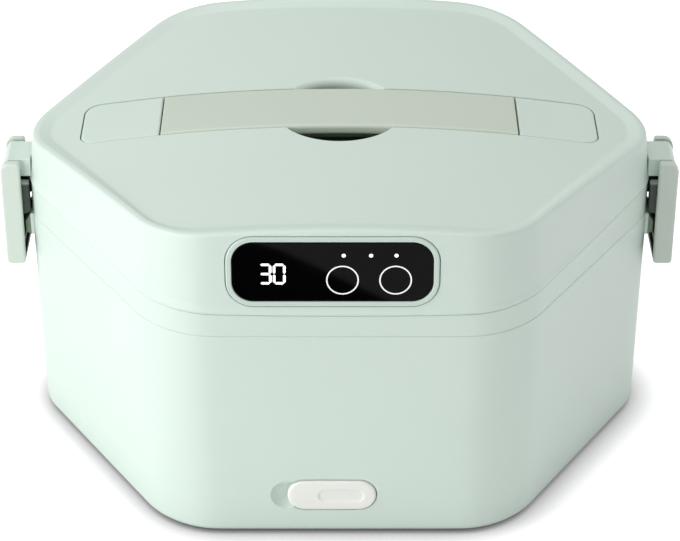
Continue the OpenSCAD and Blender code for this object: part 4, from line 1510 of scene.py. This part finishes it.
@dataclass
class Latch:
    """One side latch: a hooded channel that hangs on its pin on both sides of the lid's lug."""

    shop: Workshop
    plan: ShellPlan
    side: Side
    out: float = 9.2
    back: float = 2.3
    top: float = PIN_Z + 4
    top_r: float = 3.6
    bottom: float = 62.8
    half_w: float = 11.0
    cheek: float = 2.0
    plate: float = 1.6
    edge: float = 0.8
    bore_r: float = 1.31
    bore_half: float = 10.2
    slot_half: float = 8.0
    hood_low: float = 6.0
    hood_step: float = 3.5
    hood_top: float = 3.0
    nose_z: float = 71.5
    rib_back: float = -0.35
    rib_top: float = 4.5
    rib_from: float = 6.2
    rib_to: float = 8.8

    def outline(self) -> list[Point]:
        """Gives the latch's outline seen from the front: out from the side flat, and up.

        Returns:
            The outline, counter-clockwise.
        """
        return fillet([
            (self.out, self.top, self.top_r), (self.back, self.top, 1.1),
            (self.back, self.bottom + 18, 4.0), (self.back + 0.3, self.bottom, 1.1),
            (self.out, self.bottom, 1.3)])

    def bar(self, loop: Sequence[Point], low: float, high: float, edge: float = 0.0) -> Form:
        """Gives an outline drawn out along the latch and put in its place.

        Args:
            loop: Outline, in (x, z), out from the side flat.
            low: Where it starts in depth.
            high: Where it ends.
            edge: Radius of the end edges.

        Returns:
            The placed form.
        """
        placed = self.side.flip() @ Matrix.Translation((self.plan.half_w, 0, 0))
        return Form().prism(loop, low, high, Axis.Y, edge).moved(placed)

    def cuts(self) -> list[Form]:
        """Gives what is cut out of the latch: channel, room below the nose, hood slot and bore.

        Returns:
            The forms, in the order of cutting.
        """
        z, nose, back, face = PIN_Z, self.nose_z, self.back, self.out - self.plate
        step, top, out, inner = face + 0.3, z - self.hood_top, self.out + 1, self.half_w - self.cheek
        channel = [(-1, z + 0.6), (-1, nose + 1.6), (back, nose + 1.6), (face, nose + 2.2),
                   (face, z + 0.6)]
        below = [(-1, nose), (-1, self.bottom + 3), (face, self.bottom + 3), (face, nose - 3.9),
                 (back + 1, nose - 1.4), (back, nose)]
        hood = [(out, z + 5), (-2, z + 5), (-2, z - self.hood_low), (face, z - self.hood_low),
                (face, z - self.hood_step), (step, z - self.hood_step + 0.3), (step, top), (out, top)]
        bore = circle(self.bore_r, (PIN_OUT, z), 32)
        spans = ((channel, inner), (below, inner), (hood, self.slot_half), (bore, self.bore_half))
        return [self.bar(loop, -half, half) for loop, half in spans]

    def ribs(self) -> list[Form]:
        """Gives the two ribs inside the cheeks.

        Returns:
            The forms.
        """
        root, top = self.out - self.plate + 0.5, PIN_Z - self.rib_top
        rib = fillet([(root, top, 0), (self.rib_back, top, 0.6), (self.rib_back, self.nose_z + 11.5, 1.5),
                      (root, self.nose_z + 9.5, 0)])
        spans = ((self.rib_from, self.rib_to), (-self.rib_to, -self.rib_from))
        return [self.bar(rib, low, high, 0.3) for low, high in spans]

    def build(self) -> None:
        """Builds, cuts and dresses the latch."""
        name = self.side.word()
        body = self.bar(self.outline(), -self.half_w, self.half_w, self.edge)
        latch = body.piece(f"latch_{name}_skin")
        for form in self.cuts():
            shape(latch, form, Cut.AWAY)
        for form in self.ribs():
            shape(latch, form, Cut.JOIN)
        flatten(latch)
        self.shop.fit(latch, LATCH, f"{name}_latch", [f"latch_{name}"])


@dataclass
class Inside:
    """The pieces that keep the frame's own shape and only need their finish."""

    shop: Workshop
    finishes: tuple[tuple[Finish, tuple[str, ...]], ...] = (
        (COVER, ("bottom_cover",)),
        (RUBBER, ("rubber_feet",)),
        (STEEL, ("cover_screws", "heating_well")),
        (FELT, ("insulation_blanket",)),
        (CASTING, ("heating_plate",)),
        (CERAMIC, ("thermostat", "thermal_fuse")),
        (BOARD, ("power_board",)),
        (SOCKET, ("power_inlet",)),
        (STEEL, ("food_pot",)),
        (CLEAR, ("pot_lid",)),
        (SILICONE, ("pot_seal", "vent_plug")),
        (PANEL, ("lid_panel",)),
        (SILICONE, ("lid_gasket",)),
        (STEEL, ("lid_screws",)),
        (FRONT_BOARD, ("display_board",)),
        (LAMP, ("digit_module",)),
        (STEEL, ("touch_springs", "latch_pin_left", "latch_pin_right", "hinge_pins")))

    def build(self) -> None:
        """Dresses every one of them."""
        for finish, nodes in self.finishes:
            for node in nodes:
                self.shop.dress(node, finish)


@dataclass(frozen=True)
class Lamp:
    """A square lamp that faces the box: place and side in metres, power in watts."""

    name: str
    place: Place
    size: float
    power: float
    aim: Place = (0, 0, 0.06)

    def hang(self) -> None:
        """Hangs the lamp in the scene."""
        data = bpy.data.lights.new(self.name, "AREA")
        data.size, data.energy = self.size, self.power
        lamp = bpy.data.objects.new(self.name, data)
        lamp.location = self.place
        ray = Vector(self.aim) - Vector(self.place)
        lamp.rotation_euler = ray.to_track_quat("-Z", "Y").to_euler()
        bpy.context.scene.collection.objects.link(lamp)


@dataclass
class Studio:
    """The pale floor, the soft lights, the surroundings and the camera."""

    lamps: tuple[Lamp, ...] = (
        Lamp("key", (-1.15, -0.35, 0.75), 0.7, 8.5),
        Lamp("top", (0.0, 0.1, 1.3), 1.0, 4.0),
        Lamp("side", (-0.42, -0.55, 0.14), 0.25, 1.1),
        Lamp("right", (1.2, 0.1, 0.35), 0.8, 2.4))
    world_level: float = 0.44
    floor_half: float = 4.0
    floor_tone: float = 0.88
    floor_glow: float = 0.62
    # Reach of the painted contact shadow on the floor, in metres
    contact: float = 0.014
    card: tuple[Point, ...] = (
        (71.6, -232.6), (-84.4, -404.8), (-160.0, -404.8), (-160.0, -215.0), (71.6, -215.0))
    card_z: float = 0.4
    lens: float = 129.44
    pitch: float = 57.9
    eye: Place = (0.0002, -0.7595, 0.52715)

    @staticmethod
    def _seen(sheet: Sheet, *kinds: str) -> Value:
        """Tells rays of the given kinds from all others.

        Args:
            sheet: The sheet that the nodes go on.
            kinds: The kinds of rays, as the light path node calls them.

        Returns:
            1 for such a ray, otherwise 0.
        """
        first, *others = [sheet.node("ShaderNodeLightPath", output=f"Is {kind} Ray") for kind in kinds]
        return sum(others, first) > 0.5

    @staticmethod
    def flat(name: str, corners: Sequence[Point], z: float) -> bpy.types.Object:
        """Lays a flat sheet that isn't part of the object.

        Args:
            name: Name of the sheet and of its material.
            corners: Its corners, in metres.
            z: Its height, in metres.

        Returns:
            The sheet.
        """
        mesh = bpy.data.meshes.new(name)
        mesh.from_pydata([(x, y, z) for x, y in corners], [], [tuple(range(len(corners)))])
        mesh.materials.append(bpy.data.materials.new(name))
        sheet = bpy.data.objects.new(name, mesh)
        bpy.context.scene.collection.objects.link(sheet)
        return sheet

    def floor(self) -> None:
        """Lays the floor, which shows white away from the box and has a painted contact shadow: its
        colour and glow darken with ambient occlusion near the box.
        """
        half, tone = self.floor_half, self.floor_tone
        corners = [(-half, -half), (half, -half), (half, half), (-half, half)]
        floor = self.flat("floor", corners, 0.0)
        sheet = Sheet(floor.data.materials[0])
        path = self._seen(sheet, "Camera", "Glossy", "Transmission")
        # Painted contact shadow: ambient occlusion darkens the floor's colour and glow near the box
        painted_contact_shadow = sheet.node("ShaderNodeAmbientOcclusion", {"samples": 12},
                          {"Distance": self.contact}, "AO")
        colour = sheet.between(painted_contact_shadow, (0.0, 0.0, 0.0, 1), (tone, tone, tone, 1))
        shine = sheet.between(painted_contact_shadow, (0.0, 0.0, 0.0, 1), (1.0, 1.0, 1.0, 1))
        level = path * self.floor_glow
        glow = sheet.node("ShaderNodeEmission", None, {"Color": shine, "Strength": level})
        matt = sheet.node("ShaderNodeBsdfDiffuse", None, {"Color": colour, "Roughness": 0.6})
        both = sheet.node("ShaderNodeAddShader", None, {0: matt, 1: glow})
        sheet.node("ShaderNodeOutputMaterial", None, {"Surface": both})

    def black_card(self) -> None:
        """Lays the black card that only gloss sees, whose edge shows as a slanted line in the window."""
        card = self.flat("card", [(x * MM, y * MM) for x, y in self.card], self.card_z * MM)
        for ray in ("camera", "diffuse", "shadow", "transmission"):
            setattr(card, f"visible_{ray}", False)
        sheet = Sheet(card.data.materials[0])
        black = sheet.node("ShaderNodeBsdfDiffuse", None, {"Color": (0.0, 0.0, 0.0, 1)})
        sheet.node("ShaderNodeOutputMaterial", None, {"Surface": black})

    def surroundings(self) -> None:
        """Makes the surroundings white to look at and plain in their light."""
        world = bpy.data.worlds.new("studio")
        sheet = Sheet(world)
        white = (1.0, 1.0, 1.0, 1.0)
        path = self._seen(sheet, "Camera", "Transmission")
        seen = sheet.node("ShaderNodeBackground", None, {"Color": white, "Strength": 1.0})
        light = sheet.node("ShaderNodeBackground", None, {"Color": white, "Strength": self.world_level})
        mix = sheet.node("ShaderNodeMixShader", None, {0: path, 1: light, 2: seen})
        sheet.node("ShaderNodeOutputWorld", None, {"Surface": mix})
        bpy.context.scene.world = world

    def camera(self) -> None:
        """Sets the camera where the photograph was taken from."""
        data = bpy.data.cameras.new("camera")
        data.lens, data.sensor_width, data.clip_start = self.lens, 36.0, 0.01
        camera = bpy.data.objects.new("camera", data)
        camera.location = self.eye
        camera.rotation_euler = (math.radians(self.pitch), 0, 0)
        bpy.context.scene.collection.objects.link(camera)
        bpy.context.scene.camera = camera

    def build(self) -> None:
        """Builds the whole studio."""
        bpy.context.scene.view_settings.view_transform = "Standard"
        self.camera()
        self.floor()
        self.black_card()
        self.surroundings()
        for lamp in self.lamps:
            lamp.hang()


def main() -> None:
    """Builds every sub-assembly in order."""
    logging.basicConfig(level=logging.INFO, format="%(name)s %(message)s")
    shop, plan, hinge = Workshop(), ShellPlan(), Hinge()
    Studio().build()
    inlet, display = Inlet(shop), Display(shop)
    HeatedBase(shop, plan, hinge).build(inlet)
    Collar(shop, plan).build()
    inlet.build()
    Lid(shop, plan, hinge).build(display)
    display.build()
    Handle(shop).build()
    for side in Side:
        Latch(shop, plan, side).build()
    Inside(shop).build()


if __name__ == "__main__":
    main()
